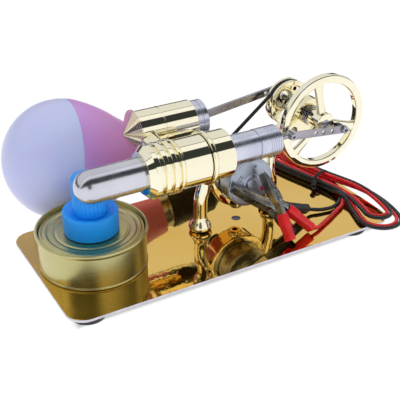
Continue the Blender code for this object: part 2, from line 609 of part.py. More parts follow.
def make_generator():
    face = MOTOR_FACE_Y
    place = (MOTOR_X, 0, MOTOR_Z)
    back = face + MOTOR_LENGTH
    turned("motor_can",
           [(1.3, back - 0.8), (11.4, back - 0.8), (11.4, face + 1.0), (MOTOR_RADIUS, face + 1.0),
            (MOTOR_RADIUS, back - 0.6), (MOTOR_RADIUS - 0.6, back), (3.4, back), (3.0, back + 1.8),
            (1.3, back + 1.8)],
           STEEL, place, ALONG_Y, ROUND, True)
    cap = turned("motor_end_cap",
                 [(0, face - 1.3), (2.4, face - 1.3), (2.8, face - 0.9), (2.8, face - 0.3), (4.4, face - 0.3),
                  (4.4, face),
                  (12.0, face), (12.0, face + 0.7), (1.3, face + 0.7), (1.3, face - 0.7),
                  (0, face - 0.7)], STEEL, place, ALONG_Y, ROUND)
    for angle in (150, 215, 20):
        ends = [math.radians(angle - 14), math.radians(angle + 14)]
        inner, outer = ((8.0 * math.cos(a), 8.0 * math.sin(a)) for a in ends)
        slot = extruded_shape(link_outline(inner, 1.0, outer, 1.0, 3), 0, 4)
        cut(cap, helper(slot, (MOTOR_X, face + 2, MOTOR_Z), FACING_FRONT))
    turned("motor_shaft", rod_profile(1.0, face - 0.4, 59.6, 0.2), STEEL, place, ALONG_Y, SMALL)
    turned("motor_armature",
           [(1.3, 31.0), (5.0, 31.0), (5.0, 34.0), (9.6, 34.0), (9.6, 45.0), (1.3, 45.0)],
           DARK_STEEL, place, ALONG_Y, MEDIUM, True)
    middle = BELT_WHEEL_FRONT_Y + BELT_WHEEL_WIDTH / 2
    groove = BELT_ON_PULLEY - BELT_RADIUS - GAP
    turned("motor_pulley",
           [(1.3, middle - 2.6), (4.4, middle - 2.6), (4.4, middle - 1.6), (groove, middle - 1.2),
            (groove, middle + 1.2), (4.4, middle + 1.6), (4.4, middle + 2.6), (1.3, middle + 2.6)],
           BLACK_PVC, place, ALONG_Y, MEDIUM, True)


# ---------------------------------------------------------------- burner

def make_burner():
    place = (*CAN_CENTRE, 0)
    rim = CAN_RIM_RADIUS
    turned("burner_can",
           [(0, 0.3), (25.2, 0.3), (25.2, 1.7), (CAN_RADIUS, 2.4), (CAN_RADIUS, 15.8), (rim, 16.6),
            (rim, CAN_RIM_Z - 0.3), (rim - 0.5, CAN_RIM_Z), (rim - 1.5, CAN_RIM_Z), (23.8, 15.6), (23.8, 1.1),
            (0, 1.1)],
           TIN, place, None, FINE)
    turned("burner_lid",
           [(5.4, 15.8), (5.4, 16.5), (15.6, 16.5), (16.4, 16.1), (17.2, 16.5), (21.2, 16.5), (22.4, 17.3),
            (23.2, 17.3), (23.2, 15.8)], TIN, place, None, ROUND, True)
    turned("wick_holder",
           [(2.9, 8.0), (5.0, 8.0), (5.0, 16.8), (10.0, 16.8), (10.0, 17.6), (5.0, 17.6), (5.0, 37.0),
            (2.9, 37.0)], NICKEL, place, None, SMALL, True)
    collar = 12.4
    turned("blue_collar",
           [(collar, 16.8), (collar, 26.5), (collar - 0.7, 27.2), (8.4, 25.9), (8.0, 25.4), (5.4, 25.4),
            (5.4, 24.2),
            (11.0, 24.2), (11.0, 16.8)], BLUE_PLASTIC, place, None, ROUND, True)
    make_blue_cap()


def make_blue_cap():
    """Fluted screw cap, hollow and open at the bottom."""
    flutes = 12
    outline = []
    for k in range(flutes):
        centre = 2 * math.pi * k / flutes
        half = math.pi / flutes
        outline += [(7.5 * math.cos(centre + a * half), 7.5 * math.sin(centre + a * half))
                    for a in (-0.5, 0.5)]
        outline += [(7.1 * math.cos(centre + a * half), 7.1 * math.sin(centre + a * half))
                    for a in (0.65, 1.35)]
    low, high = 25.8, 43.2
    shape = bmesh.new()
    levels = [(1.0, low), (1.0, high - 1.8), (0.9, high)]
    rings = [[shape.verts.new((x * s, y * s, z)) for x, y in outline] for s, z in levels]
    shape.faces.new(rings[0])
    shape.faces.new(rings[-1])
    for bottom, top in zip(rings, rings[1:]):
        for i in range(len(outline)):
            j = (i + 1) % len(outline)
            shape.faces.new((bottom[i], bottom[j], top[j], top[i]))
    cap = add_node("blue_cap", shape, BLUE_PLASTIC, (*CAN_CENTRE, 0))
    cut(cap, helper(turned_shape(rod_profile(6.2, low - 2, high - 1.6), MEDIUM), (*CAN_CENTRE, 0)))


# ---------------------------------------------------------------- lamp

def bulb_axis():
    return Vector((math.cos(BULB_TILT) * math.cos(BULB_TURN), math.cos(BULB_TILT) * math.sin(BULB_TURN),
                   -math.sin(BULB_TILT)))


def make_lamp():
    turn = towards(bulb_axis())
    radius, wall = BULB_RADIUS, 1.2
    arcs = [math.radians(15 * k) for k in range(7)]
    outside = [(radius * math.sin(a), -radius * math.cos(a)) for a in arcs]
    inside = [((radius - wall) * math.sin(a), -(radius - wall) * math.cos(a)) for a in reversed(arcs)]
    turned("bulb_dome", outside + inside, OPAL_PLASTIC, BULB_CENTRE, turn, ROUND)
    housing = [(29.9, GAP), (29.5, 5), (28.1, 10), (24.7, 20), (19.4, 30), (16.2, 39), (14.9, 50)]
    inner = [(r - 1.6, t) for r, t in reversed(housing)]
    turned("bulb_housing", housing + [(3.0, 50.0), (3.0, 48.4)] + inner[1:], PINK_PLASTIC, BULB_CENTRE, turn,
           ROUND, True)
    thread = [(13.0, 50.3), (13.0, 54.0)]
    for k in range(3):
        start = 57.0 + 5.0 * k
        thread += [(12.4, start), (13.1, start + 2.5)]
    turned("bulb_screw_cap",
           [(0, 50.3)] + thread + [(12.4, 72.2), (5.0, 75.0), (4.0, 77.4), (0, 77.4)],
           NICKEL, BULB_CENTRE, turn, ROUND)
    turned("lamp_holder",
           [(0, 78.4), (13.5, 78.4), (13.5, 55.5), (14.4, 55.5), (14.4, 80.0), (9.5, 89.0), (6.6, 93.0),
            (4.4, 99.0),
            (0, 99.0)], BLACK_RUBBER, BULB_CENTRE, turn, ROUND)


# ---------------------------------------------------------------- clips and wires

def clip_frame(clip):
    """Rotation of a clip: local X from the pivot away from the jaws, local Z along the pivot pin."""
    tip, pivot, upper, lower = (Vector(clip[k]) for k in ("tip", "pivot", "upper", "lower"))
    back = (pivot - tip).normalized()
    pin = (upper - tip).cross(lower - tip).normalized()
    pin = (pin - back * pin.dot(back)).normalized()
    return Matrix((back, pin.cross(back), pin)).transposed()


def handle_angle(clip, end):
    way = clip_frame(clip).transposed() @ (Vector(clip[end]) - Vector(clip["pivot"]))
    return math.atan2(way.y, way.x), way.length


def make_clip(colour, clip, look):
    turn = clip_frame(clip)
    reach = (Vector(clip["tip"]) - Vector(clip["pivot"])).length
    for half in ("upper", "lower"):
        angle, length = handle_angle(clip, half)
        side = 1 if angle > 0 else -1
        jaw = [(-4.7, side * 2.4), (-4.7, side * 0.2), (-reach, side * 0.2), (-reach, side * 0.9),
               (-reach * 0.6, side * 2.0)]
        clip_half = add_node(f"{colour}_clip_{half}", extruded_shape(jaw, -CLIP_HALF_WIDTH, CLIP_HALF_WIDTH),
                             NICKEL,
                             clip["pivot"], turn)
        cheek_z = (0.15, CLIP_HALF_WIDTH) if side > 0 else (-CLIP_HALF_WIDTH, -0.15)
        cheek = link_outline((-5.3, side * 1.5), 1.0, (0, 0), 2.3, 4)
        join(clip_half, helper(extruded_shape(cheek, *cheek_z), clip["pivot"], turn))
        out = Matrix.Rotation(angle, 3, "Z") @ Vector((1, 0, 0))
        middle_z = sum(cheek_z) / 2
        bar = [Vector((0, 0, middle_z)) + out * s for s in (0.6, 3.0)] + [out * s for s in (6.0, 14.5)]
        join(clip_half, helper(swept_shape(bar, [0.85, 0.9, 1.1, 1.1], 10), clip["pivot"], turn))
        cut(clip_half, helper(turned_shape(rod_profile(0.9, -4, 4), TINY), clip["pivot"], turn))
        profile = [(0, 14.9), (1.4, 14.9), (1.4, 7.0), (1.7, 7.0), (2.4, 12.0), (2.5, 15.0),
                   (1.9, length - 0.6),
                   (0, length)]
        turned(f"{colour}_boot_{half}", profile, look, clip["pivot"],
               turn @ Matrix.Rotation(angle, 3, "Z") @ ALONG_X, SMALL)


def make_wires():
    outline = [(p.x, p.y) for p in smooth([(x, y, 0) for x, y in HANK_OUTLINE], 2, closed=True)]
    add_node("cord_hank", extruded_shape(outline, *HANK_Z), BLACK_PVC)
    wire("black_lead", BLACK_LEAD, WIRE_DIAMETER, BLACK_PVC)
    wire("red_lead", RED_LEAD, WIRE_DIAMETER, RED_PVC)
    wire("lamp_cord", LAMP_CORD, LAMP_CORD_DIAMETER, BLACK_PVC)


make_base()
make_stand()
make_bearing_bracket()
make_crankshaft()
make_belt()
make_displacer_side()
make_power_side()
make_bridge()
make_generator()
make_burner()
make_lamp()
make_clip("black", BLACK_CLIP, BLACK_PVC)
make_clip("red", RED_CLIP, RED_PVC)
make_wires()
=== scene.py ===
"""Looks of the desk-top Stirling engine model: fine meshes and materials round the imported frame.

Lengths are millimetres of the plate frame: X from the plate's left edge, Y from its front edge and Z from
its upper face. ORIGIN is where that frame lies in the row frame, and at() turns one into the other.
"""

import json
import math

import bmesh
import bpy
from mathutils import Matrix, Vector


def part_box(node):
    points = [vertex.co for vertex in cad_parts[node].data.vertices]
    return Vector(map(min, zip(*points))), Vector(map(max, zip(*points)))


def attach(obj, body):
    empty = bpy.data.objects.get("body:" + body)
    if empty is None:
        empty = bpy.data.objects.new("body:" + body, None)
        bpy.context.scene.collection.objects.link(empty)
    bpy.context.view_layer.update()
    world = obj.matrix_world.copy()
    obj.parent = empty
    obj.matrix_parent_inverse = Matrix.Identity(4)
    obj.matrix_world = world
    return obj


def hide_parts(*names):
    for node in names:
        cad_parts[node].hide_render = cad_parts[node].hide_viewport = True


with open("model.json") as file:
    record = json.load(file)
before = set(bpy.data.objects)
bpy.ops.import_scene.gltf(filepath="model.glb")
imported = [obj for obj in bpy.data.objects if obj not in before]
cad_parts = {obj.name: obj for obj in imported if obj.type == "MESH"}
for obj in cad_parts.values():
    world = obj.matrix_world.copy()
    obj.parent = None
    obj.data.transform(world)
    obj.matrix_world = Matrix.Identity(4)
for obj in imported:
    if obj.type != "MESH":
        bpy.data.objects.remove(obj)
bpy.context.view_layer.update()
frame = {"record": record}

MM = 0.001
GAP = 0.3
BODY_OF = {node: body for body, nodes in frame["record"]["behaviour"]["bodies"].items() for node in nodes}

# Driving sizes, the same as the solids have
PLATE_LENGTH, PLATE_DEPTH, PLATE_THICKNESS, PLATE_CORNER = 170.0, 77.5, 1.2, 8.5
TABLE_Z = -4.8
FOOT_RADIUS, FOOT_INSET = 8.0, 9.5
SHAFT_X, AXIS_Z, SHAFT_RADIUS = 142.96, 47.53, 2.0
FLYWHEEL_RADIUS, FLYWHEEL_FRONT_Y, FLYWHEEL_WIDTH = 23.74, 25.8, 5.2
BELT_WHEEL_RADIUS, BELT_WHEEL_FRONT_Y, BELT_WHEEL_WIDTH = 11.67, 54.1, 5.6
BELT_RADIUS, BELT_ON_WHEEL, BELT_ON_PULLEY = 0.9, 10.7, 3.4
BRACKET_FRONT_Y = 36.5
FRONT_CRANK, FRONT_CRANK_ANGLE = 9.2, math.radians(-21.6)
REAR_CRANK, REAR_CRANK_ANGLE = 7.5, math.radians(68.4)
FRONT_Y, FRONT_ROD_LENGTH, FRONT_ROD_Y, FRONT_ROD_THICKNESS = 22.94, 30.7, 21.25, 1.0
REAR_Y, REAR_ROD_LENGTH, REAR_ROD_THICKNESS = 61.2, 55.1, 1.5
HOT_TUBE_RADIUS, FRONT_BODY_RADIUS, REAR_BODY_RADIUS, FIN_RADIUS = 7.3, 11.0, 10.0, 12.0
LEG_LEFT_X, LEG_RIGHT_X, LEG_Y = 81.9, 122.2, 38.8
MOTOR_X, MOTOR_Z, MOTOR_RADIUS, MOTOR_FACE_Y, MOTOR_LENGTH = 102.7, 25.2, 12.2, 27.3, 22.0
PLATE_HOLE = (102.4, 38.9)
CAN_CENTRE, CAN_RADIUS, CAN_RIM_RADIUS, CAN_RIM_Z = (26.4, 39.7), 24.4, 25.4, 18.3
BULB_CENTRE, BULB_RADIUS = (35.2, 94.4, 25.2), 30.0
BULB_TILT, BULB_TURN = math.radians(11.35), math.radians(-3.0)
WIRE_DIAMETER = 1.9
BLACK_CLIP = {"tip": (90.0, 24.0, 27.5), "pivot": (108.1, 20.3, 14.9),
              "upper": (135.0, 24.5, 3.0), "lower": (115.9, 9.5, 3.0)}
RED_CLIP = {"tip": (106.4, 23.7, 31.1), "pivot": (110.4, 16.2, 19.3),
            "upper": (127.0, 9.2, 2.6), "lower": (110.7, 3.6, 3.8)}

FINE, ROUND, SMALL = 128, 64, 32  # sides of a round shape, by its size
SHARP = math.radians(32)
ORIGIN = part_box("base_plate")[0] + Vector((0, 0, PLATE_THICKNESS * MM))


def at(point):
    return ORIGIN + Vector(point) * MM


# ---------------------------------------------------------------- camera

CAMERA_PLACE = (-85.35, -250.78, 207.20)
CAMERA_RIGHT = (0.86678, -0.49868, 0.00210)
CAMERA_UP = (0.24581, 0.43091, 0.86827)
CAMERA_LENS = 72.85


def make_camera():
    data = bpy.data.cameras.new("camera")
    data.lens = CAMERA_LENS
    data.sensor_width = 36.0
    data.clip_start, data.clip_end = 0.01, 50.0
    camera = bpy.data.objects.new("camera", data)
    right, up = Vector(CAMERA_RIGHT), Vector(CAMERA_UP)
    turn = Matrix((right, up, right.cross(up))).transposed()
    camera.matrix_world = Matrix.Translation(at(CAMERA_PLACE)) @ turn.to_4x4()
    bpy.context.scene.collection.objects.link(camera)
    bpy.context.scene.camera = camera


# ---------------------------------------------------------------- shapes

def towards(direction, flat=None):
    """Rotation whose local Z points along direction, and whose local X lies nearest to flat."""
    along = Vector(direction).normalized()
    if flat is None:
        flat = (0, 0, 1) if abs(along.z) < 0.9 else (1, 0, 0)
    across = Vector(flat)
    across = (across - along * across.dot(along)).normalized()
    return Matrix((across, along.cross(across), along)).transposed()


UPRIGHT = Matrix.Identity(3)
ALONG_X = towards((1, 0, 0))
ALONG_Y = towards((0, 1, 0))
FACING_FRONT = Matrix(((1, 0, 0), (0, 0, -1), (0, 1, 0)))  # local X to X, local Y to Z, local Z to -Y


def round_points(radius, steps, *height):
    """Points on a circle about Z, as (x, y) pairs or, with a height, as (x, y, height)."""
    return [(radius * math.cos(2 * math.pi * i / steps), radius * math.sin(2 * math.pi * i / steps), *height)
            for i in range(steps)]


def filleted(profile, closed, steps=4):
    """Rounds each (radius, height, fillet) corner of a profile. A corner with no fillet stays sharp."""
    found = []
    count = len(profile)
    for k, corner in enumerate(profile):
        here = Vector(corner[:2])
        if len(corner) == 2 or (not closed and k in (0, count - 1)):
            found.append(here)
            continue
        before, after = Vector(profile[k - 1][:2]), Vector(profile[(k + 1) % count][:2])
        back, on = before - here, after - here
        half = back.angle(on) / 2
        reach = min(corner[2] / max(math.tan(half), 0.05), 0.49 * back.length, 0.49 * on.length)
        start, end = here + back.normalized() * reach, here + on.normalized() * reach
        for i in range(steps + 1):
            t = i / steps
            found.append(start * (1 - t) ** 2 + here * 2 * t * (1 - t) + end * t ** 2)
    return found


def turned_shape(profile, steps=FINE, closed=False):
    """Turns (radius, height) points about Z. A closed profile makes a ring."""
    shape = bmesh.new()
    rings = []
    for radius, height in filleted(profile, closed):
        if radius < 1e-6:
            rings.append([shape.verts.new((0, 0, height))])
            continue
        rings.append([shape.verts.new(point) for point in round_points(radius, steps, height)])
    pairs = list(zip(rings, rings[1:]))
    if closed:
        pairs.append((rings[-1], rings[0]))
    for low, high in pairs:
        for i in range(steps):
            j = (i + 1) % steps
            corners = [low[i % len(low)], low[j % len(low)], high[j % len(high)], high[i % len(high)]]
            shape.faces.new(list(dict.fromkeys(corners)))
    return shape


def rod_profile(radius, low, high, bevel=0.2):
    return [(0, low), (radius, low, bevel), (radius, high, bevel), (0, high)]


def arc(centre, radius, start, end, steps):
    return [(centre[0] + radius * math.cos(start + (end - start) * i / steps),
             centre[1] + radius * math.sin(start + (end - start) * i / steps)) for i in range(steps + 1)]


def link_outline(first, first_radius, second, second_radius, steps=20):
    """Two round ends joined by their common tangents."""
    run = math.dist(first, second)
    heading = math.atan2(second[1] - first[1], second[0] - first[0])
    lean = math.acos((first_radius - second_radius) / run)
    return (arc(second, second_radius, heading - lean, heading + lean, steps)
            + arc(first, first_radius, heading + lean, heading + 2 * math.pi - lean, steps))


def rounded_rectangle(width, depth, radius, steps=12, centred=False):
    points = []
    corners = [(width - radius, depth - radius), (radius, depth - radius), (radius, radius),
               (width - radius, radius)]
    for k, corner in enumerate(corners):
        points += arc(corner, radius, k * math.pi / 2, (k + 1) * math.pi / 2, steps)
    if centred:
        points = [(x - width / 2, y - depth / 2) for x, y in points]
    return points


def extruded_shape(outline, low, high, bevel=0.0):
    """Extrudes an outline along Z, with its two rims bevelled."""
    shape = bmesh.new()
    bottom = [shape.verts.new((x, y, low)) for x, y in outline]
    top = [shape.verts.new((x, y, high)) for x, y in outline]
    caps = [shape.faces.new(bottom), shape.faces.new(top)]
    for i in range(len(outline)):
        j = (i + 1) % len(outline)
        shape.faces.new((bottom[i], bottom[j], top[j], top[i]))
    if bevel:
        rims = list({edge for cap in caps for edge in cap.edges})
        bmesh.ops.bevel(shape, geom=rims, offset=bevel, segments=3, profile=0.5, affect="EDGES",
                        clamp_overlap=True)
    return shape


def smooth(points, per_span, closed=False):
    """Catmull-Rom curve through the points, read at per_span places in each span."""
    knots = [Vector(p) for p in points]
    count = len(knots)
    found = []
    for k in range(count if closed else count - 1):
        if closed:
            a, b, c, d = (knots[(k + i) % count] for i in (-1, 0, 1, 2))
        else:
            a, b, c, d = (knots[min(max(k + i, 0), count - 1)] for i in (-1, 0, 1, 2))
        for i in range(per_span):
            t = i / per_span
            found.append(0.5 * (2 * b + (c - a) * t + (2 * a - 5 * b + 4 * c - d) * t * t
                                + (3 * b - a - 3 * c + d) * t ** 3))
    if not closed:
        found.append(knots[-1])
    return found


def lofted_shape(rings, closed=False):
    """Skin over rings of points that all have the same count, with its ends capped."""
    shape = bmesh.new()
    rings = [[shape.verts.new(p) for p in ring] for ring in rings]
    pairs = list(zip(rings, rings[1:]))
    if closed:
        pairs.append((rings[-1], rings[0]))
    else:
        shape.faces.new(rings[0])
        shape.faces.new(rings[-1])
    for low, high in pairs:
        for k in range(len(low)):
            m = (k + 1) % len(low)
            shape.faces.new((low[k], low[m], high[m], high[k]))
    return shape


def swept_shape(route, radii, steps=SMALL, closed=False, flat=(0, 1, 0)):
    """Round bar of changing radius along route. Its rings keep one common side direction."""
    rings = []
    count = len(route)
    for i, point in enumerate(route):
        if closed:
            along = route[(i + 1) % count] - route[i - 1]
        else:
            along = route[min(i + 1, count - 1)] - route[max(i - 1, 0)]
        basis = towards(along, flat)
        radius = radii[i] if isinstance(radii, list) else radii
        rings.append([point + basis @ Vector(p) for p in round_points(radius, steps, 0)])
    return lofted_shape(rings, closed)


def solid(name, shape, centre=(0, 0, 0), turn=UPRIGHT):
    """An object from a bmesh in millimetres of its own frame, placed in the row frame."""
    bmesh.ops.recalc_face_normals(shape, faces=shape.faces)
    bmesh.ops.scale(shape, vec=(MM, MM, MM), verts=shape.verts)
    mesh = bpy.data.meshes.new(name)
    shape.to_mesh(mesh)
    shape.free()
    made = bpy.data.objects.new(name, mesh)
    made.matrix_world = Matrix.Translation(at(centre)) @ turn.to_4x4()
    bpy.context.scene.collection.objects.link(made)
    return made


def carved(target, unions=(), cuts=()):
    """Joins solids to the target and cuts others from it, and keeps the result as its mesh."""
    others = [("UNION", o) for o in unions] + [("DIFFERENCE", o) for o in cuts]
    for operation, other in others:
        step = target.modifiers.new(operation, "BOOLEAN")
        step.operation = operation
        step.object = other
    graph = bpy.context.evaluated_depsgraph_get()
    graph.update()
    mesh = bpy.data.meshes.new_from_object(target.evaluated_get(graph))
    target.modifiers.clear()
    target.data = mesh
    for _, other in others:
        bpy.data.objects.remove(other)
    return target


def hole(radius, centre, direction, length, steps=SMALL):
    """Round cutter of a length, centred on centre."""
    shape = turned_shape([(0, -length / 2), (radius, -length / 2), (radius, length / 2), (0, length / 2)],
                         steps)
    return solid("cutter", shape, centre, towards(direction))


def show(made, look, name, body=None, slot=None, more_looks=(), stands_for=True):
    """Finishes a piece: its name, material, smooth shading and the body that it rides on."""
    made.name = name + "_fine" if name in BODY_OF else name
    mesh = made.data
    mesh.materials.clear()
    for each in (look, *more_looks):
        mesh.materials.append(each)
    mesh.shade_smooth()
    mesh.set_sharp_from_angle(angle=SHARP)
    normals = made.modifiers.new("normals", "WEIGHTED_NORMAL")
    normals.keep_sharp = True
    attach(made, body or BODY_OF[name])
    if name in BODY_OF and stands_for:
        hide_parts(name)
    return made


def turned(name, profile, look, centre, turn=UPRIGHT, steps=FINE, closed=False, **more):
    return show(solid(name, turned_shape(profile, steps, closed), centre, turn), look, name, **more)


# ---------------------------------------------------------------- materials

def linear(colour):
    """A colour as seen on screen, as the linear values that a shader takes."""
    return (*[c / 12.92 if c <= 0.04045 else ((c + 0.055) / 1.055) ** 2.4 for c in colour], 1.0)


def add(tree, kind, inputs=(), **settings):
    made = tree.nodes.new(kind)
    for key, value in settings.items():
        setattr(made, key, value)
    for key, value in dict(inputs).items():
        if isinstance(value, bpy.types.NodeSocket):
            tree.links.new(value, made.inputs[key])
        else:
            made.inputs[key].default_value = value
    return made


def noise(tree, coordinates, scale, stretch=None, detail=3.0):
    """Noise over the piece's own coordinates, drawn out by stretch."""
    if stretch:
        coordinates = add(tree, "ShaderNodeMapping",
                          {"Vector": coordinates, "Scale": stretch}).outputs["Vector"]
    made = add(tree, "ShaderNodeTexNoise", {"Vector": coordinates, "Scale": scale, "Detail": detail})
    return made.outputs["Fac"]


def ranged(tree, value, low, high, start=0.35, end=0.65):
    made = add(tree, "ShaderNodeMapRange", {"Value": value, "From Min": start, "From Max": end,
                                            "To Min": low, "To Max": high})
    return made.outputs["Result"]


AROUND = (1, 1, 260)  # stretch that turns noise into lathe lines round local Z
ALONG = (1, 60, 60)  # stretch that draws noise out along local X


def surface(name, colour, tint, roughness, spread, metallic=0.0, patch=90, lines=None, line_scale=10,
            line_depth=0.0, grain=900, grain_depth=0.0, **shader):
    """A finish whose colour drifts to tint, whose roughness varies in patches, and that has tool lines and grain.

    Sizes of noise are per metre, and depths of relief are in metres.
    """
    made = bpy.data.materials.new(name)
    made.use_nodes = True
    tree = made.node_tree
    principled = tree.nodes["Principled BSDF"]
    coordinates = add(tree, "ShaderNodeTexCoord").outputs["Object"]
    patches = noise(tree, coordinates, patch)
    drift = add(tree, "ShaderNodeMix", {"Factor": ranged(tree, noise(tree, coordinates, patch * 0.37), 0, 1)},
                data_type="RGBA")
    drift.inputs["A"].default_value = linear(colour)
    drift.inputs["B"].default_value = linear(tint)
    tree.links.new(drift.outputs["Result"], principled.inputs["Base Color"])
    rough = ranged(tree, patches, max(roughness - spread, 0.01), roughness + spread)
    if lines:
        tracks = noise(tree, coordinates, line_scale, lines, 5.0)
        more = ranged(tree, tracks, -spread, spread)
        rough = add(tree, "ShaderNodeMath", {0: rough, 1: more}, operation="ADD", use_clamp=True).outputs[0]
    tree.links.new(rough, principled.inputs["Roughness"])
    relief = None
    if lines and line_depth:
        relief = add(tree, "ShaderNodeBump", {"Height": tracks, "Distance": line_depth}).outputs["Normal"]
    if grain_depth:
        step = add(tree, "ShaderNodeBump", {"Height": noise(tree, coordinates, grain),
                                            "Distance": grain_depth})
        if relief:
            tree.links.new(relief, step.inputs["Normal"])
        relief = step.outputs["Normal"]
    if relief:
        tree.links.new(relief, principled.inputs["Normal"])
    principled.inputs["Metallic"].default_value = metallic
    for key, value in shader.items():
        principled.inputs[key.replace("_", " ")].default_value = value
    return made


PLATE_GOLD = surface("plate_gold", (0.92, 0.77, 0.44), (0.90, 0.73, 0.36), 0.045, 0.03, 1.0, patch=45,
                     grain=260, grain_depth=0.00002)
CUT_EDGE = surface("cut_edge", (0.86, 0.85, 0.90), (0.78, 0.76, 0.80), 0.35, 0.08, 1.0, patch=300,
                   grain=3000, grain_depth=0.00002)
PALE_GOLD = surface("pale_gold", (0.985, 0.965, 0.875), (0.97, 0.945, 0.835), 0.04, 0.02, 1.0, patch=120,
                    lines=AROUND, line_scale=9, line_depth=0.000004)
CAST_GOLD = surface("cast_gold", (0.975, 0.95, 0.85), (0.96, 0.92, 0.78), 0.05, 0.025, 1.0, patch=120,
                    grain=350, grain_depth=0.00005)
ALUMINIUM = surface("aluminium", (0.84, 0.85, 0.91), (0.78, 0.79, 0.86), 0.27, 0.05, 1.0, patch=160,
                    lines=AROUND, line_scale=22, line_depth=0.00002)
BAR = surface("bar_aluminium", (0.70, 0.69, 0.73), (0.61, 0.59, 0.62), 0.30, 0.08, 1.0, patch=200,
              lines=ALONG, line_scale=30, line_depth=0.00003)
POLISHED = surface("polished_steel", (0.84, 0.84, 0.88), (0.79, 0.79, 0.84), 0.22, 0.04, 1.0, patch=120,
                   lines=AROUND, line_scale=16, line_depth=0.00001)
STEEL = surface("steel", (0.74, 0.74, 0.78), (0.64, 0.64, 0.68), 0.22, 0.06, 1.0, patch=250,
                lines=AROUND, line_scale=20, line_depth=0.00002)
DARK_STEEL = surface("dark_steel", (0.38, 0.37, 0.40), (0.28, 0.27, 0.29), 0.30, 0.08, 1.0, patch=400,
                     grain=2500, grain_depth=0.00002)
MOTOR_SILVER = surface("motor_silver", (0.70, 0.73, 0.79), (0.62, 0.65, 0.71), 0.33, 0.07, 1.0, patch=140,
                       grain=1600, grain_depth=0.00003)
NICKEL = surface("nickel", (0.70, 0.70, 0.69), (0.56, 0.56, 0.55), 0.26, 0.08, 1.0, patch=260,
                 grain=1100, grain_depth=0.00005)
TIN = surface("tin", (0.78, 0.76, 0.56), (0.74, 0.71, 0.49), 0.30, 0.03, 1.0, patch=60,
              lines=AROUND, line_scale=14, line_depth=0.00001)
RUBBER = surface("black_rubber", (0.09, 0.09, 0.10), (0.13, 0.13, 0.13), 0.55, 0.10, patch=200,
                 grain=1500, grain_depth=0.00005)
BLUE = surface("blue_plastic", (0.07, 0.62, 0.99), (0.05, 0.57, 0.96), 0.42, 0.05, patch=120,
               grain=1800, grain_depth=0.00003, Subsurface_Weight=0.15, Subsurface_Scale=0.002)
OPAL = surface("opal_plastic", (0.82, 0.82, 0.98), (0.80, 0.80, 0.98), 0.30, 0.01, patch=40,
               grain=1300, grain_depth=0.00002, Subsurface_Weight=0.5, Subsurface_Scale=0.006)
BLACK_PVC = surface("black_pvc", (0.14, 0.15, 0.17), (0.10, 0.10, 0.12), 0.34, 0.08, patch=260,
                    grain=1400, grain_depth=0.00004)
RED_PVC = surface("red_pvc", (0.93, 0.13, 0.16), (0.82, 0.08, 0.10), 0.34, 0.08, patch=260,
                  grain=1400, grain_depth=0.00004, Subsurface_Weight=0.1, Subsurface_Scale=0.001)
RED_PAINT = surface("red_paint", (0.80, 0.15, 0.22), (0.70, 0.10, 0.18), 0.45, 0.08, patch=500)
COTTON = surface("cotton", (0.93, 0.91, 0.84), (0.84, 0.80, 0.70), 0.9, 0.05, patch=900,
                 lines=(1, 1, 0.2), line_scale=2500, line_depth=0.0004)


def housing_material():
    """Lilac at the dome's rim, turning to a pink mauve towards the cap."""
    made = surface("pink_plastic", (0.82, 0.62, 0.90), (0.78, 0.56, 0.85), 0.40, 0.05, patch=60,
                   grain=1300, grain_depth=0.00002, Subsurface_Weight=0.3, Subsurface_Scale=0.004)
    tree = made.node_tree
    drift = next(n for n in tree.nodes if n.type == "MIX")
    height = add(tree, "ShaderNodeSeparateXYZ", {0: next(n for n in tree.nodes
                                                         if n.type == "TEX_COORD").outputs["Object"]})
    along = ranged(tree, height.outputs["Z"], 0, 1, 0.0, 42 * MM)
    shade = add(tree, "ShaderNodeMix", {"Factor": along}, data_type="RGBA")
    tree.links.new(drift.outputs["Result"], shade.inputs["A"])
    shade.inputs["B"].default_value = linear((0.86, 0.52, 0.76))
    tree.links.new(shade.outputs["Result"], tree.nodes["Principled BSDF"].inputs["Base Color"])
    return made


PINK = housing_material()


# ---------------------------------------------------------------- base

def make_base():
    top, bottom = 0.0, -PLATE_THICKNESS
    outline = rounded_rectangle(PLATE_LENGTH, PLATE_DEPTH, PLATE_CORNER)
    plate = solid("plate", extruded_shape(outline, bottom, top, 0.15))
    middle = (top + bottom) / 2
    carved(plate, cuts=[hole(2.3, (*PLATE_HOLE, middle), (0, 0, 1), 3)]
           + [hole(1.7, (x, LEG_Y, middle), (0, 0, 1), 3) for x in (LEG_LEFT_X, LEG_RIGHT_X)])
    show(plate, PLATE_GOLD, "base_plate", more_looks=[CUT_EDGE])
    for face in plate.data.polygons:
        face.material_index = int(abs(face.normal.z) < 0.9)
    under = bottom - GAP
    for side, x in (("left", LEG_LEFT_X), ("right", LEG_RIGHT_X)):
        turned("stand_screw_" + side,
               [(0, under - 1.0), (1.0, under - 1.0), (1.3, under - 2.0), (2.2, under - 2.0, 0.2),
                (2.8, under - 1.3, 0.4), (2.8, under, 0.1), (1.4, under), (1.4, 5.7, 0.1), (0, 6.0)],
               STEEL, (x, LEG_Y, 0), steps=SMALL)
    for row, y in (("front", FOOT_INSET), ("back", PLATE_DEPTH - FOOT_INSET)):
        for side, x in (("left", FOOT_INSET + 1), ("right", PLATE_LENGTH - FOOT_INSET - 10)):
            turned(f"rubber_foot_{row}_{side}",
                   [(0, TABLE_Z + 0.5), (3.0, TABLE_Z + 0.5), (3.4, TABLE_Z, 0.2),
                    (FOOT_RADIUS - 0.3, TABLE_Z, 0.7),
                    (FOOT_RADIUS, TABLE_Z + 1.6, 0.5), (FOOT_RADIUS - 0.5, under, 0.5), (0, under)],
                   RUBBER, (x, y, 0), steps=ROUND)


# ---------------------------------------------------------------- stand

